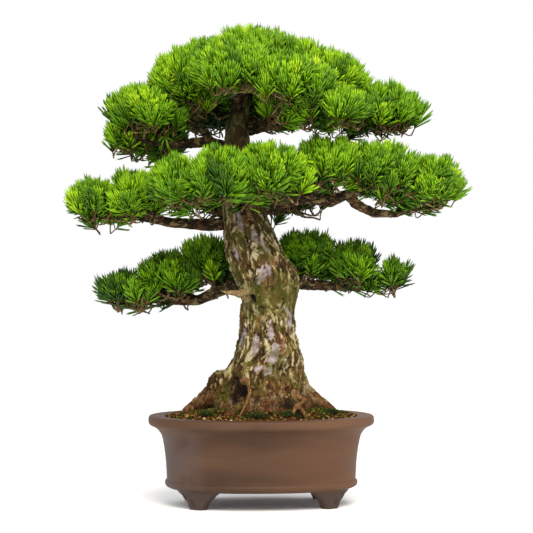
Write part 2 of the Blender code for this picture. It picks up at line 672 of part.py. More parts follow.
def build_soil():
    """The whole fill of the pot, mounded towards the trunk."""
    rings = [oval(inset, height) for inset, height in inside_profile(FIT_GAP)]
    edge = RIM_FLANGE + FIT_GAP
    rings.append(oval(edge, POT_HEIGHT - SOIL_DROP))
    for share in SOIL_RINGS:
        ring = oval(edge, soil_height(share), share)
        for point in ring:
            point.z += SOIL_ROUGH * noise.noise(point * SOIL_ROUGH_SCALE)
        rings.append(ring)
    return new_part("soil", loft("soil", rings, Vector((0, 0, soil_height(0)))), SOIL)


def opening(turn):
    """How far the edge of the pot's opening is from its middle, in a direction."""
    along = abs(cos(turn)) / (RIM_HALF_LENGTH - RIM_FLANGE)
    across = abs(sin(turn)) / (RIM_HALF_DEPTH - RIM_FLANGE)
    return (along ** OVAL_POWER + across ** OVAL_POWER) ** (-1 / OVAL_POWER)


def build_moss(name, azimuth, share, half_width):
    """A low moss cushion: the cap of a squashed ball, seated later on the soil."""
    turn = radians(azimuth)
    distance = share * opening(turn)
    half = (half_width, half_width * MOSS_NARROW, MOSS_HEIGHT)
    cushion = ball(MOSS_SEGMENTS, MOSS_SEGMENTS // 2, half, azimuth, MOSS_LUMPS)
    height = soil_height(share) + MOSS_HEIGHT * MOSS_LIFT
    cushion.location = (distance * cos(turn), distance * sin(turn), height)
    moss = adopt(name, cushion, MOSS_GREEN)
    moss.rotation_euler.z = turn + pi / 2
    bpy.context.view_layer.update()
    return moss


# --- Tree ---------------------------------------------------------------------------------------
def tree_point(right, back, height):
    """A place in the tree, from shares of its spread and of its rise."""
    return Vector((right * TREE_SPREAD, back * TREE_SPREAD, height * TREE_RISE))


def trunk_ring(station, number):
    """One lumpy section of the trunk."""
    height, right, back, half_width, half_depth = station
    middle = tree_point(right, back, height)
    ring = []
    for i in range(TRUNK_SIDES):
        turn = 2 * pi * i / TRUNK_SIDES
        way = Vector((cos(turn), sin(turn), 0))
        drift = Vector((0, 0, number * TRUNK_LUMP_STEP))
        lump = 1 + TRUNK_LUMPS * noise.noise(way * TRUNK_LUMP_SCALE + drift)
        across = Vector((half_width * way.x, half_depth * way.y, 0)) * TRUNK_RADIUS
        ring.append(middle + across * lump)
    return ring


def build_root(tree, azimuth, share, height, thick):
    """A root that runs down from the trunk's flare and dives into the soil."""
    turn = radians(azimuth)
    reach = share * opening(turn)
    points, radii = [], []
    for step in ROOT_STEPS:
        way = Vector((cos(turn), sin(turn), 0)) * reach * step
        drop = height * max(1 - step, 0) ** ROOT_CURVE
        dive = ROOT_DIVE * max(step - ROOT_DIVE_START, 0)
        sway = ROOT_SWAY * sin(step * ROOT_WAVES + azimuth)
        aside = Vector((-sin(turn), cos(turn), 0)) * sway
        points.append(way + aside + Vector((0, 0, drop - dive + SOIL_MOUND * ROOT_LIFT)))
        radii.append(thick * (1 - ROOT_TAPER * step))
    return tube("root", points, radii, ROOT_RESOLUTION, parent=tree)


def build_stub(tree):
    """The dead stub that points left at mid-height, grown from a swelling."""
    base, tip = tree_point(*STUB_BASE), tree_point(*STUB_TIP)
    points = [base.lerp(tip, along) for along, _ in STUB_TAPER]
    radii = [STUB_RADIUS * thick for _, thick in STUB_TAPER]
    return tube("stub", points, radii, parent=tree)


def build_fine_roots(tree):
    """The looping root at the left front and the forked one at the right front."""
    made = []
    for thick, *places in FINE_ROOTS:
        points = []
        for azimuth, share, height in places:
            turn = radians(azimuth)
            reach = TRUNK_RADIUS + (opening(turn) - TRUNK_RADIUS) * share
            points.append(Vector((reach * cos(turn), reach * sin(turn), height)))
        radii = [thick * (1 - FINE_ROOT_TAPER * i) for i in range(len(points))]
        made.append(tube("fine_root", points, radii, parent=tree))
    return made


def build_trunk(tree):
    """The trunk from its root crown to the leader, with its roots and stub.

    Returns the cutters that seat other pieces round it.
    """
    rings = [trunk_ring(station, i) for i, station in enumerate(TRUNK_STATIONS)]
    trunk = new_part("trunk", loft("trunk", rings), BARK, tree)
    grown = [build_root(tree, *root) for root in ROOTS]
    grown += build_fine_roots(tree) + [build_stub(tree)]
    cutters = [clearance(piece) for piece in [trunk] + grown]
    join(trunk, grown)
    return cutters


def build_bough(name, limbs, tree, trunk_cutters):
    """A bough with its side limbs, trimmed to a collar that sits on the trunk.

    Returns the cutters that seat other pieces round it.
    """
    pieces = []
    for limb in limbs:
        points = [tree_point(*point[:3]) for point in limb]
        radii = [point[3] * BOUGH_GIRTH for point in limb]
        pieces.append(tube("limb", points, radii, parent=tree))
    cutters = [clearance(piece) for piece in pieces]
    bough = adopt(f"bough_{name}", pieces[0], BARK, tree)
    join(bough, pieces[1:])
    trim(bough, trunk_cutters)
    return cutters


def build_lobe(tree, number, centre, half):
    """One rounded cloud of foliage, flatter below than above."""
    lobe = ball(PAD_SEGMENTS, PAD_RINGS, tree_point(*half), number * LOBE_SEED, PAD_LUMPS, PAD_UNDERSIDE)
    lobe.parent = tree
    lobe.location = tree_point(*centre)
    return as_cutter(lobe)


def build_pad(name, lobes, tree, number, cutters):
    """A pad of foliage: lobes grown together, seated round its boughs and its neighbours.

    Returns the cutters that seat the next pads round it.
    """
    pieces = [
        build_lobe(tree, number + i, lobe[:3], lobe[3:]) for i, lobe in enumerate(lobes)
    ]
    own_cutters = [clearance(piece) for piece in pieces]
    pad = adopt(f"foliage_{name}", pieces[0], NEEDLES, tree)
    join(pad, pieces[1:])
    trim(pad, cutters)
    return own_cutters


def build_tree(tree):
    """Trunk, boughs and foliage. Returns the trunk's cutters."""
    trunk_cutters = build_trunk(tree)
    cutters = list(trunk_cutters)
    for name, limbs in BOUGHS.items():
        cutters += build_bough(name, limbs, tree, trunk_cutters)
    for number, (name, lobes) in enumerate(PADS.items()):
        cutters += build_pad(name, lobes, tree, number * PAD_NUMBERS, cutters)
    return trunk_cutters


# --- Assembly -----------------------------------------------------------------------------------
def main():
    """Build the pot and its fittings, the tree, then the soil and moss that close round them."""
    build_pot()
    fittings = []
    for name, x in (("left", -DRAIN_X), ("right", DRAIN_X)):
        fittings.append(build_screen(f"drain_screen_{name}", x))
        fittings.append(build_clip(f"screen_clip_{name}", x))
    fittings.append(build_tie_wire())

    tree = bpy.data.objects.new("tree_front", None)
    PARTS.objects.link(tree)
    tree.location.z = POT_HEIGHT
    tree.rotation_euler.z = TREE_TURN
    bpy.context.view_layer.update()
    trunk_cutters = build_tree(tree)

    soil = build_soil()
    ground = clearance(soil)
    trim(soil, trunk_cutters + [clearance(fitting) for fitting in fittings])
    for name, place in MOSS.items():
        trim(build_moss(name, *place), [ground] + trunk_cutters)


main()
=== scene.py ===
# %% [markdown]
# # A pine bonsai in an oval stoneware pot
# The real object is a small pine, trained for years to an S-shaped trunk and flat clouds of
# needles, in a mound of gritty soil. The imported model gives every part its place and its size.
# This lesson puts the real surfaces around it: bark, needles, grains, moss and fired clay.

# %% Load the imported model
import math
import random

import bpy
import numpy as np
from mathutils import Matrix, Vector, noise
from mathutils.bvhtree import BVHTree


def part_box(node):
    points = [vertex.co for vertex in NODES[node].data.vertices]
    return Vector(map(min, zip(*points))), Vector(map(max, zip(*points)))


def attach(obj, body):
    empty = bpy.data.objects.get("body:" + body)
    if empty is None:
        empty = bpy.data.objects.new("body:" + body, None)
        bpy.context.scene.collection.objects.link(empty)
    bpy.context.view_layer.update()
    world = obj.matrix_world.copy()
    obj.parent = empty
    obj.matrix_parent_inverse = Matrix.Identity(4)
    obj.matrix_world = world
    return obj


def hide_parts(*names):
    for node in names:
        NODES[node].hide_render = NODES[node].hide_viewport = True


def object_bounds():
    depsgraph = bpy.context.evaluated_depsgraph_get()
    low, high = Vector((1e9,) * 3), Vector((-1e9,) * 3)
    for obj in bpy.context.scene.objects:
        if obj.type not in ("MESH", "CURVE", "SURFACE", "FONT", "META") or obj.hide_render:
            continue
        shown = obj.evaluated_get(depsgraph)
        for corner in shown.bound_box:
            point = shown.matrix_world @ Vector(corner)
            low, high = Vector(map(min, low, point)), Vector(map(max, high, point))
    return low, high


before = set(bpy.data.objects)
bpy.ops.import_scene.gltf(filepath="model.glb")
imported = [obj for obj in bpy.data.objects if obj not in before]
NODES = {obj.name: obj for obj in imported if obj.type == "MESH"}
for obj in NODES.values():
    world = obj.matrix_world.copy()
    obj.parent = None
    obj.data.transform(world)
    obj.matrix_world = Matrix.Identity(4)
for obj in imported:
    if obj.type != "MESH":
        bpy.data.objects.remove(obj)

CAD_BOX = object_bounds()
LOW, HIGH = CAD_BOX
MM = 0.001
print("packed model:", len(NODES), "nodes, height", round(HIGH.z / MM), "mm")

# %% [markdown]
# Every tool of Blender acts on what is selected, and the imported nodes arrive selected. So each
# piece starts from an empty selection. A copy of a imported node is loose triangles, and its points
# are merged before it is shaped. A finished piece gets its name and material, and it is tied to
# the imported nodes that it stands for.


# %% Start, copy and finish a piece
def select_only(piece=None):
    bpy.ops.object.select_all(action="DESELECT")
    if piece:
        piece.select_set(True)
        bpy.context.view_layer.objects.active = piece


def merged_copy(node, name):
    """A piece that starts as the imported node, with its points merged."""
    piece = bpy.data.objects.new(name, NODES[node].data.copy())
    bpy.context.scene.collection.objects.link(piece)
    select_only(piece)
    bpy.ops.object.mode_set(mode="EDIT")
    bpy.ops.mesh.select_all(action="SELECT")
    bpy.ops.mesh.remove_doubles(threshold=0.01 * MM)
    bpy.ops.object.mode_set(mode="OBJECT")
    return piece


def use_modifier(piece, kind, **settings):
    """Adds one modifier and applies it."""
    made = piece.modifiers.new(kind, kind)
    for name, value in settings.items():
        setattr(made, name, value)
    select_only(piece)
    bpy.ops.object.modifier_apply(modifier=made.name)


def settle(piece, name, finish, slot, *nodes):
    """Names a finished piece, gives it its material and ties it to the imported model."""
    piece.name = name
    piece.data.name = name
    piece.data.materials.clear()
    piece.data.materials.append(finish)
    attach(piece, "root")
    if nodes:
        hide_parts(*nodes)
    print(name, "has", len(piece.data.polygons), "faces")


def co_of(mesh):
    """A mesh's points as rows of x, y and z."""
    rows = np.empty(len(mesh.vertices) * 3, np.float32)
    mesh.vertices.foreach_get("co", rows)
    return rows.reshape(-1, 3)


def set_points(mesh, rows):
    mesh.vertices.foreach_set("co", np.asarray(rows, np.float32).ravel())
    mesh.update()


def set_numbers(mesh, name, values):
    """Stores one number on each point, for the material to read."""
    made = mesh.attributes.new(name, "FLOAT", "POINT")
    made.data.foreach_set("value", np.asarray(values, np.float32).ravel())


# %% [markdown]
# A material is a tree of nodes. Colours are written as they look on a screen, and Blender works
# in linear light, so one function turns them. One more function adds a node, sets what it is and
# links what it reads.


# %% Colours and nodes
SOCKETS = {"roughness": "Roughness", "metallic": "Metallic", "shine": "Specular IOR Level"}
DULL = 0.12                  # how much light a dusty or weathered surface mirrors: 0.5 is glass


def lin(code):
    """A linear colour from an sRGB hex code."""
    parts = [int(code[i:i + 2], 16) / 255 for i in (0, 2, 4)]
    return [p / 12.92 if p <= 0.04045 else ((p + 0.055) / 1.055) ** 2.4 for p in parts] + [1.0]


def add(tree, kind, settings=None, inputs=None, output=0):
    """Adds a node with its settings and inputs, and returns one of its outputs."""
    made = tree.nodes.new("ShaderNode" + kind)
    for name, value in (settings or {}).items():
        if name == "stops":
            stops = made.color_ramp.elements
            while len(stops) < len(value):
                stops.new(0.5)
            for stop, (place, code) in zip(stops, value):
                stop.position = place
                stop.color = lin(code)
        else:
            setattr(made, name, value)
    for name, value in (inputs or {}).items():
        socket = made.inputs[name] if isinstance(name, int) else next(
            s for s in made.inputs if name in (s.identifier, s.name) and s.enabled)
        if isinstance(value, bpy.types.NodeSocket):
            tree.links.new(value, socket)
        else:
            socket.default_value = value
    return made.outputs[output] if isinstance(output, int) else next(
        s for s in made.outputs if output in (s.identifier, s.name) and s.enabled)


def new_material(name, colour="808080", **numbers):
    """A material with one Principled shader: gives the material, its tree and the shader."""
    made = bpy.data.materials.new(name)
    made.use_nodes = True
    shader = made.node_tree.nodes["Principled BSDF"]
    shader.inputs["Base Color"].default_value = lin(colour)
    for socket, value in numbers.items():
        shader.inputs[SOCKETS[socket]].default_value = value
    return made, made.node_tree, shader


# %% [markdown]
# The tree is shown as its maker would look at it: straight from the front, from the height of the
# middle of the tree, turned a few degrees, with a long lens from some three metres away. The room
# is a plain white one, with a large soft light above the right front and a weaker one at the left.

# %% Camera, floor and light
VIEW_TURN = math.radians(-4.5)
CAMERA_AWAY = 3.117
CAMERA_ASIDE = 0.0088
CAMERA_HEIGHT = 0.400
SENSOR = 36.0
FOCAL_SHARE = 3.471          # focal length over the picture's width


def in_view(right, away, up):
    """A point given to the right, away from the viewer and up, in the model's own frame."""
    return Matrix.Rotation(VIEW_TURN, 4, "Z") @ Vector((right, away, up))


select_only()
bpy.ops.object.camera_add(location=in_view(CAMERA_ASIDE, -CAMERA_AWAY, CAMERA_HEIGHT),
                          rotation=(math.pi / 2, 0, VIEW_TURN))
camera = bpy.context.object
camera.data.sensor_width = SENSOR
camera.data.lens = FOCAL_SHARE * SENSOR
bpy.context.scene.camera = camera

bpy.ops.mesh.primitive_plane_add(size=60.0)
floor = bpy.context.object
floor.name = "floor"
paper, _, _ = new_material("white_paper_floor", "ffffff", roughness=1.0)
floor.data.materials.append(paper)


def softbox(name, place, aim, size, power, colour):
    """A square soft light at a place, aimed at a point."""
    bpy.ops.object.light_add(type="AREA", location=place)
    lamp = bpy.context.object
    lamp.name = name
    lamp.data.size = size
    lamp.data.energy = power
    lamp.data.color = lin(colour)[:3]
    lamp.rotation_euler = (Vector(aim) - lamp.location).to_track_quat("-Z", "Y").to_euler()


TREE_MIDDLE = (LOW + HIGH) / 2
softbox("key", in_view(0.4, -1.75, 2.0), TREE_MIDDLE, 1.5, 80.0, "fff6ea")
softbox("fill", in_view(-1.6, -1.8, 0.9), TREE_MIDDLE, 1.6, 6.0, "eef3ff")

room = bpy.data.worlds.new("white_room")
bpy.context.scene.world = room
room.use_nodes = True
room.node_tree.nodes["Background"].inputs["Color"].default_value = (1, 1, 1, 1)
room.node_tree.nodes["Background"].inputs["Strength"].default_value = 1.0
bpy.context.scene.view_settings.view_transform = "Standard"
print("camera at", [round(c, 3) for c in camera.location])

# %% [markdown]
# ## Pot
# A press-moulded oval pot of unglazed stoneware, brown from its iron. It has a wide flat rim with
# an upright edge, a cove under it, a nearly upright wall, a rounded band at its foot, and four
# short cloud feet. An oval with one profile all round suits repeated extrusion: one oval face is
# extruded and scaled from the underside, up the outside, over the rim and down the inside.

# %% The pot's profile
POT_LOW, POT_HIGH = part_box("pot")
RIM_X, RIM_Y = POT_HIGH.x, POT_HIGH.y
RIM_TOP = POT_HIGH.z
OVAL_POWER = 2.25
OVAL_SIDES = 168
FOOT_HEIGHT = 30 * MM
FOOT_ROOT = 3 * MM
WALL = 9 * MM

OUTSIDE = [                  # inset from the rim's edge and height in mm, from the underside up
    (38, 30.0), (36, 30.0), (34.6, 30.5), (33.4, 31.4), (31.8, 32.0), (30.2, 32.9),
    (29.0, 34.2), (28.2, 36.0), (28.0, 38.0), (28.2, 40.0), (29.0, 41.8), (30.2, 43.1),
    (31.0, 43.6), (31.2, 44.6), (30.9, 48.0), (30.5, 58.0), (29.7, 72.0), (28.3, 86.0),
    (26.2, 100.0), (24.0, 111.0), (22.2, 117.5), (20.0, 121.8), (16.8, 126.2), (12.4, 130.2),
    (7.6, 133.0), (4.4, 134.2), (2.2, 135.6), (0.8, 137.4), (0.1, 139.4), (0.0, 142.0),
    (0.2, 145.6), (0.8, 148.0), (2.2, 149.5), (4.4, 150.0),
]
INSIDE = [
    (14.0, 149.7), (25.4, 150.0), (27.6, 149.4), (28.7, 147.6), (29.2, 144.0), (30.6, 125.0),
    (31.2, 117.0), (37.0, 90.0), (39.4, 60.0), (40.2, 48.0), (42.5, 41.2), (48.0, 38.0),
]
print("pot", round(2 * RIM_X / MM), "x", round(2 * RIM_Y / MM), "mm")


# %% Extrude the pot from its underside
def oval_point(turn, inset, height):
    """A point of the pot's oval, set in from the rim's edge."""
    c, s = math.cos(turn), math.sin(turn)
    power = 2 / OVAL_POWER
    return Vector(((RIM_X - inset) * math.copysign(abs(c) ** power, c),
                   (RIM_Y - inset) * math.copysign(abs(s) ** power, s), height))


select_only()
first_inset, first_height = (value * MM for value in OUTSIDE[0])
bpy.ops.mesh.primitive_circle_add(vertices=OVAL_SIDES, radius=1.0, fill_type="NGON")
pot = bpy.context.object
for point in pot.data.vertices:
    turn = math.atan2(point.co.y, point.co.x)
    point.co = oval_point(turn, first_inset, first_height)
bpy.ops.object.mode_set(mode="EDIT")
bpy.ops.mesh.select_all(action="SELECT")
inset, height = first_inset, first_height
for next_inset, next_height in [(a * MM, b * MM) for a, b in OUTSIDE[1:] + INSIDE]:
    bpy.ops.mesh.extrude_region_move(
        TRANSFORM_OT_translate={"value": (0, 0, next_height - height)})
    bpy.ops.transform.resize(
        value=((RIM_X - next_inset) / (RIM_X - inset), (RIM_Y - next_inset) / (RIM_Y - inset), 1),
        center_override=(0, 0, next_height))
    inset, height = next_inset, next_height
bpy.ops.mesh.select_all(action="SELECT")
bpy.ops.mesh.normals_make_consistent(inside=False)
bpy.ops.object.mode_set(mode="OBJECT")
print("pot shell", len(pot.data.polygons), "faces")

# %% [markdown]
# A cloud foot is pressed in a small mould. It follows the oval's corner, narrows in steps like
# the edge of a cloud, and carries a raised scroll. Each foot is a finely divided cube whose points
# are moved to the foot's outline, and the scroll is pressed into its outer face.

# %% Cloud feet
FOOT_TURN = math.radians(42)
FOOT_TOP_SPAN = math.radians(21)
FOOT_TOE_SPAN = math.radians(6.2)
FOOT_CUTS = 37
SCROLLS = ((0.22, 0.70, 4.3 * MM, 1), (0.70, 0.36, 2.8 * MM, -1))   # across, down, pitch, hand
SCROLL_TURNS = 1.6
GROOVE = 2.0 * MM
FACE_DEEP = 0.3              # the groove fades out over this share of the thickness


def scroll_depth(across, down, half_width):
    """How deep the scroll's groove is at a place on the foot's face, from 0 to 1."""
    depth = 0.0
    for middle, level, pitch, hand in SCROLLS:
        x = (across - middle) * half_width * hand
        y = (down - level) * FOOT_HEIGHT
        reach = math.hypot(x, y) / pitch
        if reach < SCROLL_TURNS:
            wave = reach - math.atan2(y, x) / (2 * math.pi)
            edge = min(1.0, (SCROLL_TURNS - reach) * 3)
            depth = max(depth, edge * (0.2 + 0.8 * (0.5 - 0.5 * math.cos(2 * math.pi * wave))))
    return depth


def cloud_foot(side, end):
    """One foot: side is left or right, end is front or back."""
    select_only()
    bpy.ops.mesh.primitive_cube_add(size=1.0)
    foot = bpy.context.object
    bpy.ops.object.mode_set(mode="EDIT")
    bpy.ops.mesh.select_all(action="SELECT")
    bpy.ops.mesh.subdivide(number_cuts=FOOT_CUTS)
    bpy.ops.object.mode_set(mode="OBJECT")
    grooves = []
    for point in foot.data.vertices:
        across, out, down = 2 * point.co.x, 0.5 - point.co.y, 0.5 - point.co.z
        lobes = (0.14 if across > 0 else 0.03) * abs(math.sin(3.2 * math.pi * down))
        span = FOOT_TOE_SPAN + (FOOT_TOP_SPAN - FOOT_TOE_SPAN) * (1 - down) ** 1.5
        span *= 1 + lobes * (1 - 0.5 * down)
        round_off = 1 - 0.10 * (2 * out - 1) ** 4
        turn = FOOT_TURN - across * span * round_off
        front = 34 * MM + 6 * MM * down + 1.2 * MM * math.sin(math.pi * down)
        thick = 24 * MM - 6 * MM * down
        corner = 1.6 * MM * abs(across) ** 6
        inset = front + out * thick + corner * (1 - 2 * out)
        fade = max(0.0, 1 - out / FACE_DEEP)
        groove = scroll_depth(across, down, span * RIM_Y) * fade
        inset += GROOVE * groove
        grooves.append(groove)
        height = (FOOT_HEIGHT + FOOT_ROOT) * (1 - down)
        place = oval_point(turn, inset, height)
        point.co = (side * place.x, end * place.y, place.z)
    set_numbers(foot.data, "groove", grooves)
    bpy.ops.object.mode_set(mode="EDIT")
    bpy.ops.mesh.normals_make_consistent(inside=False)
    bpy.ops.object.mode_set(mode="OBJECT")
    return foot


feet = [cloud_foot(side, end) for side in (-1, 1) for end in (-1, 1)]
select_only(feet[0])
for foot in feet[1:]:
    foot.select_set(True)
bpy.ops.object.join()
feet = bpy.context.object
set_numbers(pot.data, "groove", [0.0] * len(pot.data.vertices))
use_modifier(pot, "BOOLEAN", operation="UNION", object=feet, solver="EXACT")
bpy.data.objects.remove(feet)

# %% [markdown]
# Two drain holes go through the base. They lie over the mesh screens and under the soil, and each
# is cut with a plain cylinder.

# %% Drain holes and the pot's finish
DRAIN_RADIUS = 10 * MM
for node in ("drain_screen_left", "drain_screen_right"):
    low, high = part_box(node)
    select_only()
    bpy.ops.mesh.primitive_cylinder_add(vertices=48, radius=DRAIN_RADIUS, depth=4 * WALL,
                                        location=((low.x + high.x) / 2, 0, FOOT_HEIGHT))
    drill = bpy.context.object
    use_modifier(pot, "BOOLEAN", operation="DIFFERENCE", object=drill, solver="EXACT")
    bpy.data.objects.remove(drill)
select_only(pot)
bpy.ops.object.shade_smooth_by_angle(angle=math.radians(40))

# %% [markdown]
# Unglazed red-brown stoneware, wiped with a wet cloth before firing and handled for years since.
# The wipes leave darker level streaks, and lime and weather leave a grey lilac bloom at the left
# end and on the feet. The grit in the clay is under half a millimetre, so it shows only as a
# faint unevenness of the gloss.

# %% Fired clay
clay, tree, shader = new_material("unglazed_stoneware", roughness=0.62, shine=0.22)
place = add(tree, "TexCoord", output="Object")
STREAKS_PER_M = (5.0, 5.0, 24.0)
streaky = add(tree, "Mapping", {}, {"Vector": place, "Scale": STREAKS_PER_M})
wipes = add(tree, "TexNoise", {}, {"Vector": streaky, "Scale": 1.0, "Detail": 5.0,
                                   "Roughness": 0.45, "Distortion": 0.3})
clouds = add(tree, "TexNoise", {}, {"Vector": place, "Scale": 16.0, "Detail": 4.0})
grit = add(tree, "TexNoise", {}, {"Vector": place, "Scale": 1400.0, "Detail": 2.0})
brown = add(tree, "ValToRGB", {"stops": ((0.30, "352416"), (0.44, "412b1b"), (0.56, "4a3322"),
                                         (0.74, "5c422d"))}, {"Fac": wipes})
axes = tree.nodes.new("ShaderNodeSeparateXYZ")
tree.links.new(place, axes.inputs[0])
# Painted light: the brown is painted lighter towards the pot's right end, on the side of the key
# light.
painted_light_right = add(tree, "MapRange", {}, {"Value": axes.outputs["X"], "From Min": -0.02,
                                   "From Max": 0.17, "To Max": 0.45}, 0)
brown = add(tree, "MixRGB", {}, {"Fac": painted_light_right, "Color1": brown, "Color2": lin("6c4a35")})
leftward = add(tree, "MapRange", {}, {"Value": axes.outputs["X"], "From Min": -0.095,
                                      "From Max": -0.135}, 0)
cloudy = add(tree, "MapRange", {}, {"Value": clouds, "From Min": 0.42, "From Max": 0.52}, 0)
end_bloom = add(tree, "MapRange", {}, {"Value": axes.outputs["X"], "From Min": -0.125,
                                       "From Max": -0.155}, 0)
bloom = add(tree, "Math", {"operation": "MULTIPLY"}, {0: leftward, 1: cloudy})
bloom = add(tree, "Math", {"operation": "MAXIMUM"}, {0: bloom, 1: end_bloom})
on_feet = add(tree, "MapRange", {}, {"Value": axes.outputs["Z"], "From Min": 0.034,
                                     "From Max": 0.026}, 0)
rim_clean = add(tree, "MapRange", {}, {"Value": axes.outputs["Z"], "From Min": 0.138,
                                       "From Max": 0.120, "To Max": 0.8}, 0)
lime = add(tree, "Math", {"operation": "MULTIPLY"}, {0: bloom, 1: rim_clean})
fired = add(tree, "MixRGB", {}, {"Fac": lime, "Color1": brown, "Color2": lin("4e403c")})
fired = add(tree, "MixRGB", {}, {"Fac": on_feet, "Color1": fired, "Color2": lin("3d3029")})
# Painted shade: the scroll's groove on the feet is painted dark brown by its depth.
painted_groove_shade = add(tree, "Attribute", {"attribute_name": "groove"}, output="Fac")
fired = add(tree, "MixRGB", {}, {"Fac": painted_groove_shade, "Color1": fired, "Color2": lin("2c1a10")})
tree.links.new(fired, shader.inputs["Base Color"])
sheen_of_use = add(tree, "MapRange", {}, {"Value": wipes, "From Min": 0.3, "From Max": 0.7,
                                          "To Min": 0.50, "To Max": 0.70}, 0)
tree.links.new(sheen_of_use, shader.inputs["Roughness"])
bump = add(tree, "Bump", {}, {"Height": grit, "Strength": 0.35, "Distance": 0.3 * MM})
tree.links.new(bump, shader.inputs["Normal"])
settle(pot, "pot_body", clay, "stoneware", "pot")

# %% [markdown]
# ## Fittings under the soil
# Mesh screens lie over the drain holes, held by bent aluminium wire, and a thicker wire ties the
# root ball down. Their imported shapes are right, so they stay and only get their materials: dull
# black polyethylene, and aluminium with a brown oxide coat.

# %% Screens and wires
plastic, tree, shader = new_material("black_polyethylene", "1c1c1c", roughness=0.55)
place = add(tree, "TexCoord", output="Object")
scuffs = add(tree, "TexNoise", {}, {"Vector": place, "Scale": 300.0, "Detail": 3.0})
worn = add(tree, "ValToRGB", {"stops": ((0.4, "181818"), (0.7, "2b2b2a"))}, {"Fac": scuffs})
tree.links.new(worn, shader.inputs["Base Color"])
wire, tree, shader = new_material("brown_anodised_aluminium", "8c6a4a", metallic=1.0,
                                  roughness=0.38)
place = add(tree, "TexCoord", output="Object")
drawn = add(tree, "TexNoise", {}, {"Vector": place, "Scale": 500.0, "Detail": 2.0})
coat = add(tree, "ValToRGB", {"stops": ((0.35, "7a583b"), (0.7, "96755a"))}, {"Fac": drawn})
tree.links.new(coat, shader.inputs["Base Color"])
for node, finish in (("drain_screen_left", plastic), ("drain_screen_right", plastic),
                     ("screen_clip_left", wire), ("screen_clip_right", wire), ("tie_wire", wire)):
    NODES[node].data.materials.clear()
    NODES[node].data.materials.append(finish)

# %% [markdown]
# ## Copies of small shapes
# Grains, moss leaves and needles are each modelled once and then repeated by the thousand. A
# small shape is read as arrays of its points and faces, and all its copies are written into one
# mesh, each with its own points. The map named OFBake gives every copy its own small square, so
# that a picture of the surface can hold a colour for each.


# %% Read, copy and write small shapes
def read_shape(piece, along=None, cell=0):
    """A small modelled object as arrays, which then stands for it. The object is removed."""
    mesh = piece.data
    co = co_of(mesh)
    starts = np.array([f.loop_start for f in mesh.polygons])
    totals = np.array([f.loop_total for f in mesh.polygons])
    corners = np.array([loop.vertex_index for loop in mesh.loops])
    reach = max(float(np.abs(co[:, :2]).max()), 1e-6)
    low, high = co[:, 2].min(), co[:, 2].max()
    rise = (co[:, 2] - low) / max(high - low, 1e-6)
    uv = np.empty((len(corners), 2), np.float32)
    for start, total in zip(starts, totals):
        rows = slice(start, start + total)
        points = co[corners[rows]]
        middle = points.mean(axis=0)
        flat = np.ptp(rise[corners[rows]]) < 0.02
        turn = math.atan2(middle[1], middle[0])
        side = -points[:, 0] * math.sin(turn) + points[:, 1] * math.cos(turn)
        sector = (turn / (2 * math.pi)) % 1.0
        uv[rows, 0] = np.clip(0.1 + 0.7 * sector + 0.15 * side / reach, 0.02, 0.98)
        uv[rows, 1] = 0.03 + 0.94 * rise[corners[rows]]
        if flat:
            uv[rows, 0] = 0.5 + 0.4 * points[:, 0] / reach
            uv[rows, 1] = 0.05 + 0.04 * points[:, 1] / reach + 0.9 * rise[corners[rows]]
    bpy.data.objects.remove(piece)
    return {"co": co, "totals": totals, "corners": corners, "uv": uv,
            "cell": np.full(len(corners), cell), "cells": 1,
            "along": rise if along is None else np.full(len(co), along),
            "tone": np.zeros(len(co))}


def copies(shapes, kinds, places, tones):
    """Copies of small shapes at their own places, with a tone added to each, as one shape."""
    made = {key: [] for key in ("co", "totals", "corners", "uv", "cell", "along", "tone")}
    kinds, places, tones = np.asarray(kinds), np.asarray(places, float), np.asarray(tones)
    points = cells = 0
    for kind, shape in enumerate(shapes):
        chosen = places[kinds == kind]
        count = len(chosen)
        if not count:
            continue
        size = len(shape["co"])
        moved = np.einsum("nij,vj->nvi", chosen[:, :3, :3], shape["co"]) + chosen[:, None, :3, 3]
        step = np.arange(count)
        made["co"].append(moved.reshape(-1, 3))
        made["totals"].append(np.tile(shape["totals"], count))
        corners = shape["corners"][None] + points + step[:, None] * size
        made["corners"].append(corners.ravel())
        made["uv"].append(np.tile(shape["uv"], (count, 1)))
        made["cell"].append((shape["cell"][None] + cells + step[:, None] * shape["cells"]).ravel())
        made["along"].append(np.tile(shape["along"], count))
        made["tone"].append((shape["tone"][None] + tones[kinds == kind][:, None]).ravel())
        points += count * size
        cells += count * shape["cells"]
    return {**{key: np.concatenate(rows) for key, rows in made.items()}, "cells": cells}


def write_shape(name, shape):
    """A new object from a shape's arrays, with its numbers and its map."""
    mesh = bpy.data.meshes.new(name)
    mesh.vertices.add(len(shape["co"]))
    mesh.loops.add(len(shape["corners"]))
    mesh.polygons.add(len(shape["totals"]))
    mesh.vertices.foreach_set("co", shape["co"].astype(np.float32).ravel())
    mesh.loops.foreach_set("vertex_index", shape["corners"].astype(np.int32))
    starts = np.concatenate(([0], np.cumsum(shape["totals"])[:-1]))
    mesh.polygons.foreach_set("loop_start", starts.astype(np.int32))
    mesh.update(calc_edges=True)
    mesh.validate()
    set_numbers(mesh, "along", shape["along"])
    set_numbers(mesh, "tone", shape["tone"])
    across = math.ceil(math.sqrt(shape["cells"]))
    column, row = shape["cell"] % across, shape["cell"] // across
    spots = (shape["uv"] * 0.9 + 0.05 + np.stack([column, row], axis=1)) / across
    own_map = mesh.uv_layers.new(name="OFBake")
    own_map.uv.foreach_set("vector", spots.astype(np.float32).ravel())
    piece = bpy.data.objects.new(name, mesh)
    bpy.context.scene.collection.objects.link(piece)
    return piece


def place_at(point, upward, turn, size=1.0):
    """A place for a copy: its middle, the way its top points, its turn and its size."""
    lean = Vector(upward).to_track_quat("Z", "Y").to_matrix().to_4x4()
    return (Matrix.Translation(point) @ lean @ Matrix.Rotation(turn, 4, "Z")
            @ Matrix.Diagonal((size, size, size, 1.0)))


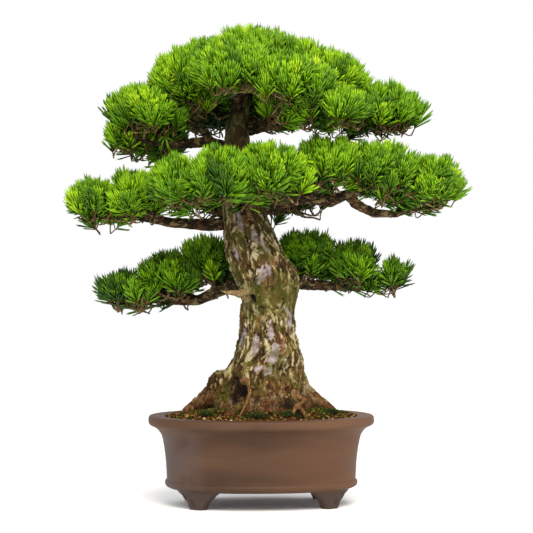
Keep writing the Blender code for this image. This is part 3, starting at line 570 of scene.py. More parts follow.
# %% [markdown]
# ## Soil
# A bonsai mix of crushed fired clay, pumice and a little bark, sieved to about 3 to 5 mm. The
# packed mound is right and stays as the fine dark bed. Over it lie loose grains: a ball of
# twenty faces, dented so that none looks like another, and strewn wherever a straight drop onto
# the mound meets no root.

# %% Grains
rng = random.Random(11)
GRAIN_KINDS = 7


def grain(kind):
    select_only()
    bpy.ops.mesh.primitive_ico_sphere_add(subdivisions=1, radius=1.0)
    made = bpy.context.object
    for point in made.data.vertices:
        dent = noise.noise(point.co * 1.3 + Vector((kind * 7.1, 0, 0)))
        point.co *= 1 + 0.45 * dent
        point.co.z *= 0.72
    return read_shape(made)


def tree_over(node):
    return BVHTree.FromObject(NODES[node], bpy.context.evaluated_depsgraph_get())


SOIL_LOW, SOIL_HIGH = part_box("soil")
soil_top, trunk_hit = tree_over("soil"), tree_over("trunk")
HIGH_ABOVE = SOIL_HIGH.z + 0.3
DOWN = Vector((0, 0, -1))


def soil_at(x, y):
    """The mound's surface under a place, or nothing where a root covers it."""
    spot, normal, _, _ = soil_top.ray_cast(Vector((x, y, HIGH_ABOVE)), DOWN)
    if spot is None or normal.z < 0.3:
        return None, None
    over = trunk_hit.ray_cast(Vector((x, y, SOIL_HIGH.z + 60 * MM)), DOWN)[0]
    if over is not None and over.z > spot.z - 2 * MM:
        return None, None
    return spot, normal


GRAINS = 7600
kinds, places, tones = [], [], []
while len(places) < GRAINS:
    x, y = rng.uniform(SOIL_LOW.x, SOIL_HIGH.x), rng.uniform(SOIL_LOW.y, SOIL_HIGH.y)
    spot, normal = soil_at(x, y)
    if spot is None:
        continue
    radius = min(3.1, max(1.1, rng.gauss(1.75, 0.5))) * MM
    lean = (normal + Vector((rng.gauss(0, 0.4), rng.gauss(0, 0.4), 0.2))).normalized()
    kinds.append(rng.randrange(GRAIN_KINDS))
    places.append(place_at(spot + normal * radius * 0.15, lean, rng.uniform(0, 6.28), radius))
    tones.append(rng.random())
grains = write_shape("soil_grains", copies([grain(k) for k in range(GRAIN_KINDS)], kinds, places,
                                           tones))

# %% [markdown]
# The colour of a grain comes from its own tone: rust and ochre fired clay, tan pumice, dark bark
# and a few near-white bits. Dull, dry and rough.

# %% Grain and bed finishes
grit_mix, tree, shader = new_material("fired_clay_and_pumice", roughness=0.9, shine=DULL)
tone = add(tree, "Attribute", {"attribute_name": "tone"}, output="Fac")
place = add(tree, "TexCoord", output="Object")
hues = add(tree, "ValToRGB", {"stops": (
    (0.00, "130b04"), (0.22, "241406"), (0.42, "3c2008"), (0.58, "58340b"), (0.70, "68320c"),
    (0.82, "805614"), (0.92, "a07c30"), (0.98, "c2a262"), (1.00, "e0d2ae"))}, {"Fac": tone})
dust = add(tree, "TexNoise", {}, {"Vector": place, "Scale": 700.0, "Detail": 3.0})
shade = add(tree, "ValToRGB", {"stops": ((0.3, "8f8f8f"), (0.7, "ffffff"))}, {"Fac": dust})
dusty = add(tree, "MixRGB", {"blend_type": "MULTIPLY"},
            {"Fac": 1.0, "Color1": hues, "Color2": shade})
tree.links.new(dusty, shader.inputs["Base Color"])
settle(grains, "soil_grains", grit_mix, "soil")

bed, tree, shader = new_material("fine_dark_soil", roughness=0.95, shine=DULL)
place = add(tree, "TexCoord", output="Object")
fines = add(tree, "TexNoise", {}, {"Vector": place, "Scale": 420.0, "Detail": 6.0})
dark = add(tree, "ValToRGB", {"stops": ((0.35, "120b05"), (0.6, "2a1a0a"), (0.75, "402a10"))},
           {"Fac": fines})
tree.links.new(dark, shader.inputs["Base Color"])
lumps = add(tree, "Bump", {}, {"Height": fines, "Strength": 0.8, "Distance": 1.5 * MM})
tree.links.new(lumps, shader.inputs["Normal"])
NODES["soil"].data.materials.clear()
NODES["soil"].data.materials.append(bed)

# %% [markdown]
# ## Moss
# Small green cushions of moss grow at the foot of the trunk, and bits of it creep over the damp
# grains near the roots. Each is a crowd of tiny pointed leaves, modelled as one four-sided leaf
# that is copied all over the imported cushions, which stay under it, and over the soil near the
# trunk.

# %% Moss leaves
MOSS_NODES = [name for name in NODES if name.startswith("moss_")]
LEAVES_PER_CUSHION = 450
STRAY_CLUMPS = 260
LEAVES_PER_CLUMP = 14


def moss_leaf():
    select_only()
    bpy.ops.mesh.primitive_cone_add(vertices=4, radius1=0.55 * MM, radius2=0.0, depth=2.6 * MM,
                                    location=(0, 0, 1.0 * MM))
    leaf = bpy.context.object
    bpy.ops.object.transform_apply(location=True, rotation=True, scale=True)
    return read_shape(leaf)


def spots_on(piece, count, rng):
    """Random points of a mesh, spread by area, each with its face's normal."""
    mesh = piece.data
    mesh.calc_loop_triangles()
    triangles = mesh.loop_triangles
    weights = np.cumsum([t.area for t in triangles])
    found = []
    for _ in range(count):
        chosen = triangles[int(np.searchsorted(weights, rng.random() * weights[-1]))]
        a, b, c = (mesh.vertices[i].co for i in chosen.vertices)
        one, two = sorted((rng.random(), rng.random()))
        found.append((a * one + b * (two - one) + c * (1 - two), chosen.normal.copy()))
    return found


rng = random.Random(23)
places, tones = [], []
for node in MOSS_NODES:
    for spot, normal in spots_on(NODES[node], LEAVES_PER_CUSHION, rng):
        if normal.z > -0.1:
            lean = normal + Vector([rng.gauss(0, 0.45) for _ in range(3)])
            places.append(place_at(spot, lean, rng.uniform(0, 6.28), rng.uniform(0.7, 1.3)))
            tones.append(rng.random())
clumps = 0
while clumps < STRAY_CLUMPS:
    turn, reach = rng.uniform(0, 2 * math.pi), abs(rng.gauss(0.092, 0.030))
    spot, normal = soil_at(reach * 1.15 * math.cos(turn), reach * 0.85 * math.sin(turn))
    if spot is None:
        continue
    clumps += 1
    wide = rng.uniform(2.0, 5.5) * MM
    for _ in range(LEAVES_PER_CLUMP):
        aside = Vector((rng.gauss(0, wide), rng.gauss(0, wide), 0))
        near, normal = soil_at(spot.x + aside.x, spot.y + aside.y)
        if near is not None:
            lean = normal + Vector([rng.gauss(0, 0.5) for _ in range(3)])
            places.append(place_at(near + normal * 1.6 * MM, lean, rng.uniform(0, 6.28),
                                   rng.uniform(0.7, 1.4)))
            tones.append(rng.random())
moss = write_shape("moss_leaves", copies([moss_leaf()], [0] * len(places), places, tones))
mossy, tree, shader = new_material("cushion_moss", roughness=0.85, shine=DULL)
tone = add(tree, "Attribute", {"attribute_name": "tone"}, output="Fac")
greens = add(tree, "ValToRGB", {"stops": ((0.0, "0f1404"), (0.4, "232b08"), (0.7, "38450a"),
                                          (0.92, "53630e"), (1.0, "7c7c2a"))}, {"Fac": tone})
tree.links.new(greens, shader.inputs["Base Color"])
settle(moss, "moss_leaves", mossy, "moss")
under, tree, shader = new_material("moss_cushion_base", roughness=0.95, shine=DULL)
place = add(tree, "TexCoord", output="Object")
mottle = add(tree, "TexNoise", {}, {"Vector": place, "Scale": 350.0, "Detail": 3.0})
deep = add(tree, "ValToRGB", {"stops": ((0.35, "0c0f05"), (0.7, "22280c"))}, {"Fac": mottle})
tree.links.new(deep, shader.inputs["Base Color"])
for node in MOSS_NODES:
    NODES[node].data.materials.clear()
    NODES[node].data.materials.append(under)

# %% [markdown]
# ## Trunk
# The bark of an old pine is made of flaky plates, longer up the trunk than across it, with deep
# dark cracks between them. Where a plate has dropped off, the younger bark shows smooth and
# pinkish grey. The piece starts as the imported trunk, is remeshed finely and smoothed, and its
# points are then moved in and out by a cell pattern that is stretched along the trunk.

# %% Bark relief
TRUNK_LOW, TRUNK_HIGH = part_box("trunk")
BARK_STEP = 2.2 * MM
PLATE_WIDE = 12.0 * MM       # across the trunk, and more than twice as long up it
FLAKE_WIDE = 4.6 * MM
CRACK_DEEP = 3.0 * MM
UPWARD = Vector((1.0, 1.0, 0.42))    # how much the pattern is stretched up the trunk


def smooth_step(low, high, value):
    """Rises smoothly from 0 at the low value to 1 at the high one, or falls if they swap."""
    share = min(1.0, max(0.0, (value - low) / (high - low)))
    return share * share * (3 - 2 * share)


def axis_of(co, step=18 * MM):
    """The middle of the trunk at each height, as a function."""
    levels = np.arange(TRUNK_LOW.z, TRUNK_HIGH.z + step, step)
    xs, ys, previous = [], [], co[:, :2].mean(axis=0)
    for level in levels:
        ring = co[np.abs(co[:, 2] - level) < step]
        if len(ring):
            previous = (ring[:, :2].min(axis=0) + ring[:, :2].max(axis=0)) / 2
        xs.append(previous[0])
        ys.append(previous[1])
    return lambda z: Vector((float(np.interp(z, levels, xs)), float(np.interp(z, levels, ys)), 0))


def bark_at(point, stretch=UPWARD, plate=PLATE_WIDE, flake=FLAKE_WIDE):
    """Relief of the bark in metres, how cracked it is and the level of its flake, 0 to 1."""
    even = point * stretch
    sway = noise.noise_vector(even * 28) * 9 + noise.noise_vector(even * 95) * 4
    sway += noise.noise_vector(even * 260) * 1.6
    wandering = even + sway * MM * (plate / PLATE_WIDE)
    far, homes = noise.voronoi(wandering / plate)
    fine_far, fine_homes = noise.voronoi(wandering / flake + Vector((9.0, 4.0, 2.0)))
    comes_and_goes = smooth_step(-0.15, 0.3, noise.noise(even * 45 + Vector((5.0, 5.0, 5.0))))
    crack = (1 - smooth_step(0.0, 0.17, far[1] - far[0])) * comes_and_goes
    hairline = 1 - smooth_step(0.0, 0.16, fine_far[1] - fine_far[0])
    level = noise.cell(homes[0] * 3.7)
    flaked = noise.cell(fine_homes[0] * 2.3)
    ridge = 1 - 2 * abs(noise.noise(even * 150))
    relief = (1.2 * level + 1.1 * flaked - 0.7 * hairline + 0.9 * ridge) * MM - CRACK_DEEP * crack
    return relief, max(crack, 0.4 * hairline), 0.75 * flaked + 0.25 * ridge


trunk = merged_copy("trunk", "trunk_bark")
bpy.ops.object.select_all(action="DESELECT")
bpy.ops.mesh.primitive_uv_sphere_add(segments=32, ring_count=16, radius=1.0)
swelling = bpy.context.object
swelling.scale = (28 * MM, 24 * MM, 37 * MM)
swelling.location = in_view(-64 * MM, -8 * MM, RIM_TOP + 40 * MM)
bpy.ops.object.transform_apply(location=True, rotation=True, scale=True)
select_only(trunk)
swelling.select_set(True)
bpy.ops.object.join()
use_modifier(trunk, "REMESH", mode="VOXEL", voxel_size=BARK_STEP)
use_modifier(trunk, "SMOOTH", factor=0.5, iterations=8)
co = co_of(trunk.data)
axis = axis_of(co)
normals = np.empty(len(co) * 3, np.float32)
trunk.data.vertices.foreach_get("normal", normals)
normals = normals.reshape(-1, 3)
print("trunk", len(co), "points")

# %% [markdown]
# The patches where plates have dropped off, the dark hollow beside the dead stub and the hollows
# between the roots are listed one by one: each is a point in the tree's front view, as the share of
# the trunk's height, the turn round the trunk from the front and its half width and half height.

# %% Bare patches, hollows and the finished relief
BARE = (   # height over the rim in mm, turn in degrees from the front to the right, half sizes
    (141, 7, 6, 17), (114, 15, 7, 15), (97, 18, 11, 8), (118, -25, 8, 19), (130, -64, 9, 20),
    (80, -2, 9, 7), (78, 17, 7, 8), (234, -1, 8, 16), (246, 12, 5, 12), (284, 22, 6, 14),
    (271, -46, 5, 14), (300, 8, 7, 14), (330, -20, 6, 18), (165, 60, 8, 22), (205, 95, 8, 24),
    (300, 120, 10, 26), (180, 150, 10, 24), (240, -140, 10, 24), (120, -120, 9, 22),
    (330, 200, 10, 26), (110, 175, 10, 20), (60, 120, 10, 16),
)
HOLLOWS = (   # the same, and how deep in mm
    (197, -21, 9, 9, 6.5), (46, -38, 27, 26, 6.5), (22, 38, 18, 13, 4.5), (182, 4, 18, 4, 3.0),
    (283, -58, 3.0, 13, 4.0), (241, -71, 3.0, 10, 4.0), (273, 68, 3.5, 13, 4.5),
    (253, 45, 2.5, 13, 4.0), (125, 44, 2.5, 12, 4.0), (88, 38, 2.5, 9, 4.0), (72, 5, 2.0, 12, 3.5),
    (150, -38, 2.5, 14, 3.5), (70, -58, 4.0, 12, 4.0), (30, -5, 9, 7, 3.5),
)
TRUNK_SKIN = 52 * MM


def bent_line(*places):
    """A line through points in the tree's view, in mm: right, away, over the rim, half width."""
    return [(in_view(x * MM, y * MM, RIM_TOP + z * MM), half * MM) for x, y, z, half in places]


DEAD_STUB = bent_line((-26, -27, 204, 8.0), (-45, -34, 206, 8.8), (-67, -45, 209, 2.4))
LOOSE_ROOTS = (
    bent_line((-30, -46, 60, 5.0), (-22, -68, 60, 4.4), (-18, -82, 42, 3.8), (-26, -90, 22, 3.2),
              (-36, -96, 4, 2.6)),
    bent_line((50, -45, 40, 5.5), (74, -62, 28, 4.8), (58, -80, 22, 4.2), (50, -88, 4, 3.5)),
    bent_line((60, -77, 23, 4.0), (71, -88, 10, 3.5), (75, -91, -4, 3.0)),
)


def on_line(point, line):
    """The nearest place to a point on the first stretch of a line, carried on past its ends."""
    start, span = line[0][0], line[-1][0] - line[0][0]
    return start + span * ((point - start).dot(span) / span.length_squared)


def nearness(point, line):
    """How far a point is from the middle of a tapering bent line, 1 on its surface."""
    found = 9.0
    for (one, half), (two, next_half) in zip(line, line[1:]):
        span = two - one
        share = min(1.0, max(0.0, (point - one).dot(span) / span.length_squared))
        away = (point - one - span * share).length
        found = min(found, away / (half + (next_half - half) * share))
    return found


def share_in(point, middle, height, turn, wide, tall):
    """How far a point is from the middle of a patch, 1 at its edge."""
    around = math.degrees(math.atan2(point.x - middle.x, -(point.y - middle.y)))
    across = ((around + math.degrees(VIEW_TURN) * -1 - turn + 180) % 360 - 180)
    across = math.radians(across) * TRUNK_SKIN / (wide * MM)
    return math.hypot(across, (point.z - RIM_TOP - height * MM) / (tall * MM))


moved, cracks, bare_rows, hollow_shade_rows, level_rows = [], [], [], [], []
for row, normal in zip(co, normals):
    point, middle = Vector(row), axis(float(row[2]))
    relief, crack, level = bark_at(point - middle)
    away = (Vector((point.x, point.y, 0)) - middle).length
    ragged = 0.45 * noise.noise(point * 60) + 0.4 * noise.noise(point * 170)
    ragged += 0.3 * noise.noise(point * 380)
    bare = dark = 0.0
    for height, turn, wide, tall in BARE:
        reach = share_in(point, middle, height, turn, wide, tall) + ragged
        bare = max(bare, 1 - smooth_step(0.85, 1.0, reach))
    for height, turn, wide, tall, deep in HOLLOWS:
        reach = share_in(point, middle, height, turn, wide, tall) + 0.8 * ragged
        dark = max(dark, (1 - smooth_step(0.3, 1.1, reach)) * deep)
    over_rim = point.z - RIM_TOP
    stub = smooth_step(1.9, 1.0, nearness(point, DEAD_STUB)) if abs(over_rim - 0.2) < 0.04 else 0
    loose = 0.0
    if over_rim < 0.075 and point.y < 0:
        loose = max(smooth_step(1.5, 1.15, nearness(point, line)) for line in LOOSE_ROOTS)
    root = 1 - smooth_step(0.012, 0.05, over_rim)
    thin = smooth_step(4 * MM, 26 * MM, away) * (1 - 0.65 * root)
    smooth = max(stub, loose)
    dark *= 1 - smooth
    relief = relief * (1 - 0.9 * bare) - 1.0 * MM * bare
    relief = relief * (1 - 0.5 * root) * (1 - 0.45 * smooth) - min(dark, 8.0) * MM
    relief += 0.6 * MM * noise.noise(point * 260)
    if stub:
        point = point.lerp(on_line(point, DEAD_STUB), 0.42 * stub)
    moved.append(point + Vector(normal) * relief * max(thin, 0.25))
    cracks.append(crack * (1 - bare) * (1 - 0.4 * root) * (1 - smooth))
    bare_rows.append(bare * (1 - smooth) * (1 - 0.7 * root))
    # The hollows' depth is kept for the material as painted shade.
    hollow_shade_rows.append(min(1.0, dark / 5.0))
    level_rows.append(level if smooth < 0.05 else 1 + stub if stub > loose else 2 + loose)
set_points(trunk.data, moved)
for name, rows in (("crack", cracks), ("bare", bare_rows), ("hollow", hollow_shade_rows),
                   ("level", level_rows)):
    set_numbers(trunk.data, name, rows)
select_only(trunk)
bpy.ops.object.shade_smooth_by_angle(angle=math.radians(50))

# %% [markdown]
# Weathered pine bark: grey olive and tan plates, near-black cracks, rust in the young edges, and
# pinkish grey where it is bare. A film of green algae gathers at the swelling and in the cracks,
# and the roots are redder. The relief's own numbers steer the colours, so that they agree.

# %% Bark finish
def flaky_bark(name, tones, young, cracks="150e06"):
    """Bark in five tones, with rust where it is young: the tree of nodes and its last colour."""
    made, tree, shader = new_material(name, roughness=0.88, shine=DULL)
    place = add(tree, "TexCoord", output="Object")
    upright = add(tree, "Mapping", {}, {"Vector": place, "Scale": (1.0, 1.0, 0.5)})
    fibre = add(tree, "TexNoise", {}, {"Vector": upright, "Scale": 420.0, "Detail": 4.0,
                                       "Roughness": 0.65})
    broad = add(tree, "TexNoise", {}, {"Vector": upright, "Scale": 55.0, "Detail": 5.0})
    level = add(tree, "Attribute", {"attribute_name": "level"}, output="Fac")
    mixed = add(tree, "Math", {"operation": "MINIMUM"}, {0: level, 1: 1.0})
    mixed = add(tree, "Math", {"operation": "MULTIPLY_ADD"}, {0: mixed, 1: 0.40, 2: broad})
    mixed = add(tree, "Math", {"operation": "MULTIPLY_ADD"}, {0: fibre, 1: 0.55, 2: mixed})
    plates = add(tree, "ValToRGB", {"stops": list(zip((0.62, 0.78, 0.90, 1.02, 1.16), tones))},
                 {"Fac": add(tree, "Math", {"operation": "MULTIPLY"}, {0: mixed, 1: 1.0})})
    rust = add(tree, "TexNoise", {}, {"Vector": upright, "Scale": 38.0, "Detail": 5.0,
                                      "Roughness": 0.6})
    rust = add(tree, "MapRange", {}, {"Value": rust, "From Min": 0.52, "From Max": 0.62,
                                      "To Max": 0.7}, 0)
    colour = add(tree, "MixRGB", {}, {"Fac": rust, "Color1": plates, "Color2": lin(young)})
    bump = add(tree, "Bump", {}, {"Height": fibre, "Strength": 0.8, "Distance": 1.2 * MM})
    tree.links.new(bump, shader.inputs["Normal"])
    return made, tree, shader, colour, level, fibre, lin(cracks)


TRUNK_TONES = ("2a2010", "4c3e20", "6b5a31", "86764a", "a69c78")
bark, tree, shader, colour, level, fibre, crack_colour = flaky_bark(
    "flaky_pine_bark", TRUNK_TONES, "673d28")
place = add(tree, "TexCoord", output="Object")
crack = add(tree, "Attribute", {"attribute_name": "crack"}, output="Fac")
bare = add(tree, "Attribute", {"attribute_name": "bare"}, output="Fac")
hollow = add(tree, "Attribute", {"attribute_name": "hollow"}, output="Fac")
rise = add(tree, "SeparateXYZ", {}, {"Vector": place}, "Z")
low_down = add(tree, "MapRange", {}, {"Value": rise, "From Min": RIM_TOP + 0.085,
                                      "From Max": RIM_TOP + 0.015, "To Max": 0.85}, 0)
rusty = add(tree, "ValToRGB", {"stops": ((0.32, "1c0f07"), (0.5, "4e2d16"), (0.72, "84592f"))},
            {"Fac": fibre})
colour = add(tree, "MixRGB", {}, {"Fac": low_down, "Color1": colour, "Color2": rusty})
skin = add(tree, "TexNoise", {}, {"Vector": place, "Scale": 110.0, "Detail": 5.0})
lilac = add(tree, "ValToRGB", {"stops": ((0.32, "54423a"), (0.48, "7b6e6e"), (0.66, "9b9294"))},
            {"Fac": skin})
colour = add(tree, "MixRGB", {}, {"Fac": bare, "Color1": colour, "Color2": lilac})
patchy = add(tree, "TexNoise", {}, {"Vector": place, "Scale": 30.0, "Detail": 6.0,
                                    "Roughness": 0.6})
algae = add(tree, "MapRange", {}, {"Value": patchy, "From Min": 0.50, "From Max": 0.64,
                                   "To Max": 0.55}, 0)
to_bulge = add(tree, "Math", {"operation": "SUBTRACT"}, {0: rise, 1: RIM_TOP + 0.200})
to_bulge = add(tree, "Math", {"operation": "ABSOLUTE"}, {0: to_bulge})
bulge = add(tree, "MapRange", {}, {"Value": to_bulge, "From Min": 0.045, "From Max": 0.01,
                                   "To Max": 0.62}, 0)
algae = add(tree, "Math", {"operation": "MAXIMUM"}, {0: algae, 1: bulge})
colour = add(tree, "MixRGB", {}, {"Fac": algae, "Color1": colour, "Color2": lin("454a12")})
# Darker and greener high up: painted shade from the crown above, and a greener film.
painted_crown_shade_and_green = add(tree, "MapRange", {}, {"Value": rise, "From Min": RIM_TOP + 0.25,
                                     "From Max": RIM_TOP + 0.40, "To Max": 0.68}, 0)
colour = add(tree, "MixRGB", {}, {"Fac": painted_crown_shade_and_green, "Color1": colour, "Color2": lin("272a0c")})
dead = add(tree, "MapRange", {}, {"Value": level, "From Min": 1.05, "From Max": 1.5}, 0)
grey_wood = add(tree, "ValToRGB", {"stops": ((0.34, "46391f"), (0.5, "786541"),
                                             (0.68, "98875f"))}, {"Fac": fibre})
colour = add(tree, "MixRGB", {}, {"Fac": dead, "Color1": colour, "Color2": grey_wood})
loose = add(tree, "MapRange", {}, {"Value": level, "From Min": 2.1, "From Max": 2.6,
                                   "To Max": 0.9}, 0)
root_skin = add(tree, "ValToRGB", {"stops": ((0.34, "2a190c"), (0.5, "5f4123"),
                                             (0.7, "8d6b41"))}, {"Fac": fibre})
colour = add(tree, "MixRGB", {}, {"Fac": loose, "Color1": colour, "Color2": root_skin})
colour = add(tree, "MixRGB", {}, {"Fac": crack, "Color1": colour, "Color2": crack_colour})
# Painted shade: the hollows and short cracks listed in HOLLOWS are painted near black by their
# depth.
colour = add(tree, "MixRGB", {}, {"Fac": hollow, "Color1": colour, "Color2": lin("120b06")})
tree.links.new(colour, shader.inputs["Base Color"])
gloss = add(tree, "MapRange", {}, {"Value": bare, "To Min": 0.9, "To Max": 0.6}, 0)
tree.links.new(gloss, shader.inputs["Roughness"])
settle(trunk, "trunk_bark", bark, "bark", "trunk")

# %% [markdown]
# ## Boughs
# The boughs are the trunk's younger wood. Their bark is the same in a smaller pattern, which runs
# along them. Each starts as its packed bough, remeshed finely, and its points are moved by the
# same relief at about half the size.

# %% Bough bark
BOUGHS = [name for name in NODES if name.startswith("bough_")]
WOOD = [trunk_hit] + [tree_over(node) for node in BOUGHS]
BOUGH_STEP = 1.7 * MM
ALONG = Vector((0.42, 0.7, 1.0))     # most boughs run to the left or to the right
BOUGH_TONES = ("17120a", "2a2213", "3c311d", "4f432a", "68593b")
bough_bark, tree, shader, colour, _, _, crack_colour = flaky_bark(
    "young_pine_bark", BOUGH_TONES, "4c3018")
crack = add(tree, "Attribute", {"attribute_name": "crack"}, output="Fac")
colour = add(tree, "MixRGB", {}, {"Fac": crack, "Color1": colour, "Color2": crack_colour})
tree.links.new(colour, shader.inputs["Base Color"])
for node in BOUGHS:
    bough = merged_copy(node, node)
    use_modifier(bough, "REMESH", mode="VOXEL", voxel_size=BOUGH_STEP)
    use_modifier(bough, "SMOOTH", factor=0.5, iterations=6)
    co = co_of(bough.data)
    normals = np.empty(len(co) * 3, np.float32)
    bough.data.vertices.foreach_get("normal", normals)
    moved, cracks, levels = [], [], []
    for row, normal in zip(co, normals.reshape(-1, 3)):
        relief, crack, level = bark_at(Vector(row), ALONG, 6.5 * MM, 3.0 * MM)
        moved.append(Vector(row) + Vector(normal) * (0.45 * relief + 0.5 * MM))
        cracks.append(crack)
        levels.append(level)
    set_points(bough.data, moved)
    set_numbers(bough.data, "crack", cracks)
    set_numbers(bough.data, "level", levels)
    select_only(bough)
    bpy.ops.object.shade_smooth_by_angle(angle=math.radians(50))
    settle(bough, node.replace("bough", "branch"), bough_bark, "twig_bark", node)

# %% [markdown]
# ## Needles
# A pine of this kind carries its needles in pairs, and thirty or so pairs stand round the tip of
# each shoot like a shaving brush, the outer ones leaning out and curving up again. The needles
# are about 38 mm long. One needle is a three-sided cone that is cut across, kept wide to its last
# third and bent, so it has only a few faces. It is drawn about a third stouter than a real one.

# %% One needle, one shoot and one bud
NEEDLE_LONG = 38 * MM
NEEDLE_HALF = 1.3 * MM
NEEDLE_BOW = 4.2 * MM
SHOOT_HALF = 1.25 * MM


def needle():
    """A needle that stands on the origin and bows towards -X."""
    select_only()
    bpy.ops.mesh.primitive_cone_add(vertices=3, radius1=0.8 * NEEDLE_HALF, radius2=0.0,
                                    depth=NEEDLE_LONG, location=(0, 0, NEEDLE_LONG / 2))
    made = bpy.context.object
    bpy.ops.object.transform_apply(location=True, rotation=True, scale=True)
    bpy.ops.object.mode_set(mode="EDIT")
    bpy.ops.mesh.select_all(action="SELECT")
    bpy.ops.mesh.bisect(plane_co=(0, 0, 0.80 * NEEDLE_LONG), plane_no=(0, 0, 1))
    bpy.ops.object.mode_set(mode="OBJECT")
    for point in made.data.vertices:
        rise = point.co.z / NEEDLE_LONG
        if 0.3 < rise < 0.9:
            reach = math.hypot(point.co.x, point.co.y)
            point.co.x *= NEEDLE_HALF / reach
            point.co.y *= NEEDLE_HALF / reach
        point.co.x -= NEEDLE_BOW * rise * rise
    return read_shape(made)


def stem(low, high, half, top_half, along):
    """A five-sided stem or bud, marked by its own number for the material."""
    select_only()
    bpy.ops.mesh.primitive_cone_add(vertices=5, radius1=half, radius2=top_half, depth=high - low,
                                    location=(0, 0, (low + high) / 2))
    made = bpy.context.object
    bpy.ops.object.transform_apply(location=True, rotation=True, scale=True)
    return read_shape(made, along=along)


NEEDLE = needle()
SHOOT = stem(-16 * MM, 13 * MM, SHOOT_HALF, 0.9 * MM, -1.0)
BUD = stem(12 * MM, 21 * MM, 1.7 * MM, 0.3 * MM, -0.5)


def tuft(pairs, spread, longest, seed):
    """A shoot with its pairs of needles: spread is how far the lowest lean out, in degrees."""
    rng = random.Random(seed)
    kinds, places, tones = [1, 2], [Matrix(), Matrix()], [0.0, 0.0]
    for i in range(pairs):
        share = (i + 0.5) / pairs
        height = (15 - 20 * share) * MM
        lean = math.radians(7 + (spread - 7) * share ** 0.8 + rng.gauss(0, 5))
        turn = i * 2.39996 + rng.gauss(0, 0.2)
        size = longest * rng.uniform(0.78, 1.0) * (1 - 0.12 * share)
        shade = rng.gauss(0, 0.07)
        for splay in (-1, 1):
            places.append(Matrix.Rotation(turn, 4, "Z") @ Matrix.Translation((0, 0, height))
                          @ Matrix.Rotation(lean, 4, "Y")
                          @ Matrix.Rotation(splay * math.radians(rng.uniform(2.5, 5.5)), 4, "X")
                          @ Matrix.Diagonal((1, 1, size, 1)))
            kinds.append(0)
            tones.append(shade)
    return copies([NEEDLE, SHOOT, BUD], kinds, places, tones)


TUFTS = [tuft(24, 52, 1.0, 1), tuft(22, 60, 0.95, 2), tuft(25, 46, 1.05, 3),
         tuft(17, 70, 0.90, 4)]
TUFT_LONG = 50 * MM          # from the shoot's foot to its highest needle tip
print("needles in a tuft", [(t["cells"] - 2) for t in TUFTS])

# %% [markdown]
# ## Pads of needles
# A pad is a flat cloud of shoots that are pinched every year, so that they stand close and at one
# height. The shoots point up and a little outwards, and hang on to the edge. They are strewn over
# the top and the rim of each packed pad, a good thumb's width apart, so that the needle tips end
# at its surface. A second layer lower down closes the gaps.

# %% Strew the shoots
PADS = [name for name in NODES if name.startswith("foliage_")]
PAD_TREES = {name: tree_over(name) for name in PADS}
APART = 17.0 * MM
# Painted shade in the tone of each pad's needles: darker for the lower and back pads, and painted
# light for the crown's left pad.
PADS_IN_SHADE = {"foliage_lower_left": -0.10, "foliage_lower_right": -0.10,
                 "foliage_mid_back": -0.20, "foliage_crown_back": -0.12,
                 "foliage_crown_left": 0.06}
UNDERSIDE = -0.35           # how far down a face looks to count as a pad's underside
UNDER_SHARE = {"foliage_mid_right": 0.8, "foliage_lower_right": 0.7}   # shoots left under a pad
UP = Vector((0, 0, 1))
rng = random.Random(5)


def inside(trees, point):
    """True if the point is inside any of these packed pads."""
    for pad in trees:
        spot, normal, _, _ = pad.find_nearest(point)
        if spot is not None and (point - spot).dot(normal) < 0:
            return True
    return False


def thinned(spots, apart):
    """Keeps the spots that are at least so far from each one kept before."""
    kept, grid = [], {}
    for spot, normal in spots:
        key = tuple(int(c // apart) for c in spot)
        near = [grid.get((key[0] + i, key[1] + j, key[2] + k), ()) for i in (-1, 0, 1)
                for j in (-1, 0, 1) for k in (-1, 0, 1)]
        if all((spot - other).length > apart for cell in near for other in cell):
            grid.setdefault(key, []).append(spot)
            kept.append((spot, normal))
    return kept


def shoots_of(node, rng):
    """The shoots of one pad: where each stands, the way it points, its kind and its tone."""
    shoots = []
    others = [pad for name, pad in PAD_TREES.items() if name != node]
    spots = spots_on(NODES[node], 6500, rng)
    low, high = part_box(node)
    middle = (low + high) / 2
    for spot, normal in thinned(spots, APART):
        if normal.z < 0.9 and inside(others, spot + normal * 14 * MM):
            continue
        under = normal.z < UNDERSIDE
        jitter = Vector([rng.gauss(0, 0.12) for _ in range(3)])
        if under:
            if rng.random() > UNDER_SHARE.get(node, 0.5):
                continue
            outward = Vector((spot.x - middle.x, spot.y - middle.y, 0)).normalized()
            way = (outward + jitter * 2 + UP * rng.uniform(-0.1, 0.5)).normalized()
            foot = spot + UP * 10 * MM - way * TUFT_LONG * 0.8
            kind = rng.choice((1, 3))
        else:
            way = (normal * 0.75 + UP * 0.75 + jitter).normalized()
            foot = spot - way * (TUFT_LONG * 0.93)
            foot.z = max(foot.z, low.z + 12 * MM)
            kind = rng.choice((0, 1, 2))
        height = (spot.z - low.z) / (high.z - low.z)
        # The tone holds painted light: needles higher on a pad are painted lighter and yellower,
        # the pads in PADS_IN_SHADE get their painted shade, and a random part is added.
        tone = 0.42 + 0.20 * height + rng.gauss(0, 0.15) + PADS_IN_SHADE.get(node, 0.0)
        # Shoots under a pad get painted shade: their tone is 0.10 darker.
        shoots.append((foot, way, kind, tone - (0.10 if under else 0)))
        # The second layer, lower inside the pad, gets painted shade: its tone is 0.25 darker.
        if not under and normal.z > 0.0 and rng.random() < 0.5:
            deeper = foot - way * 16 * MM + jitter * 60 * MM
            if inside([PAD_TREES[node]], deeper):
                shoots.append((deeper, (way + jitter).normalized(), 1, tone - 0.25))
    return shoots


SHOOTS = {node: shoots_of(node, rng) for node in PADS}
print("shoots", {node: len(found) for node, found in SHOOTS.items()},
      sum(len(found) for found in SHOOTS.values()))

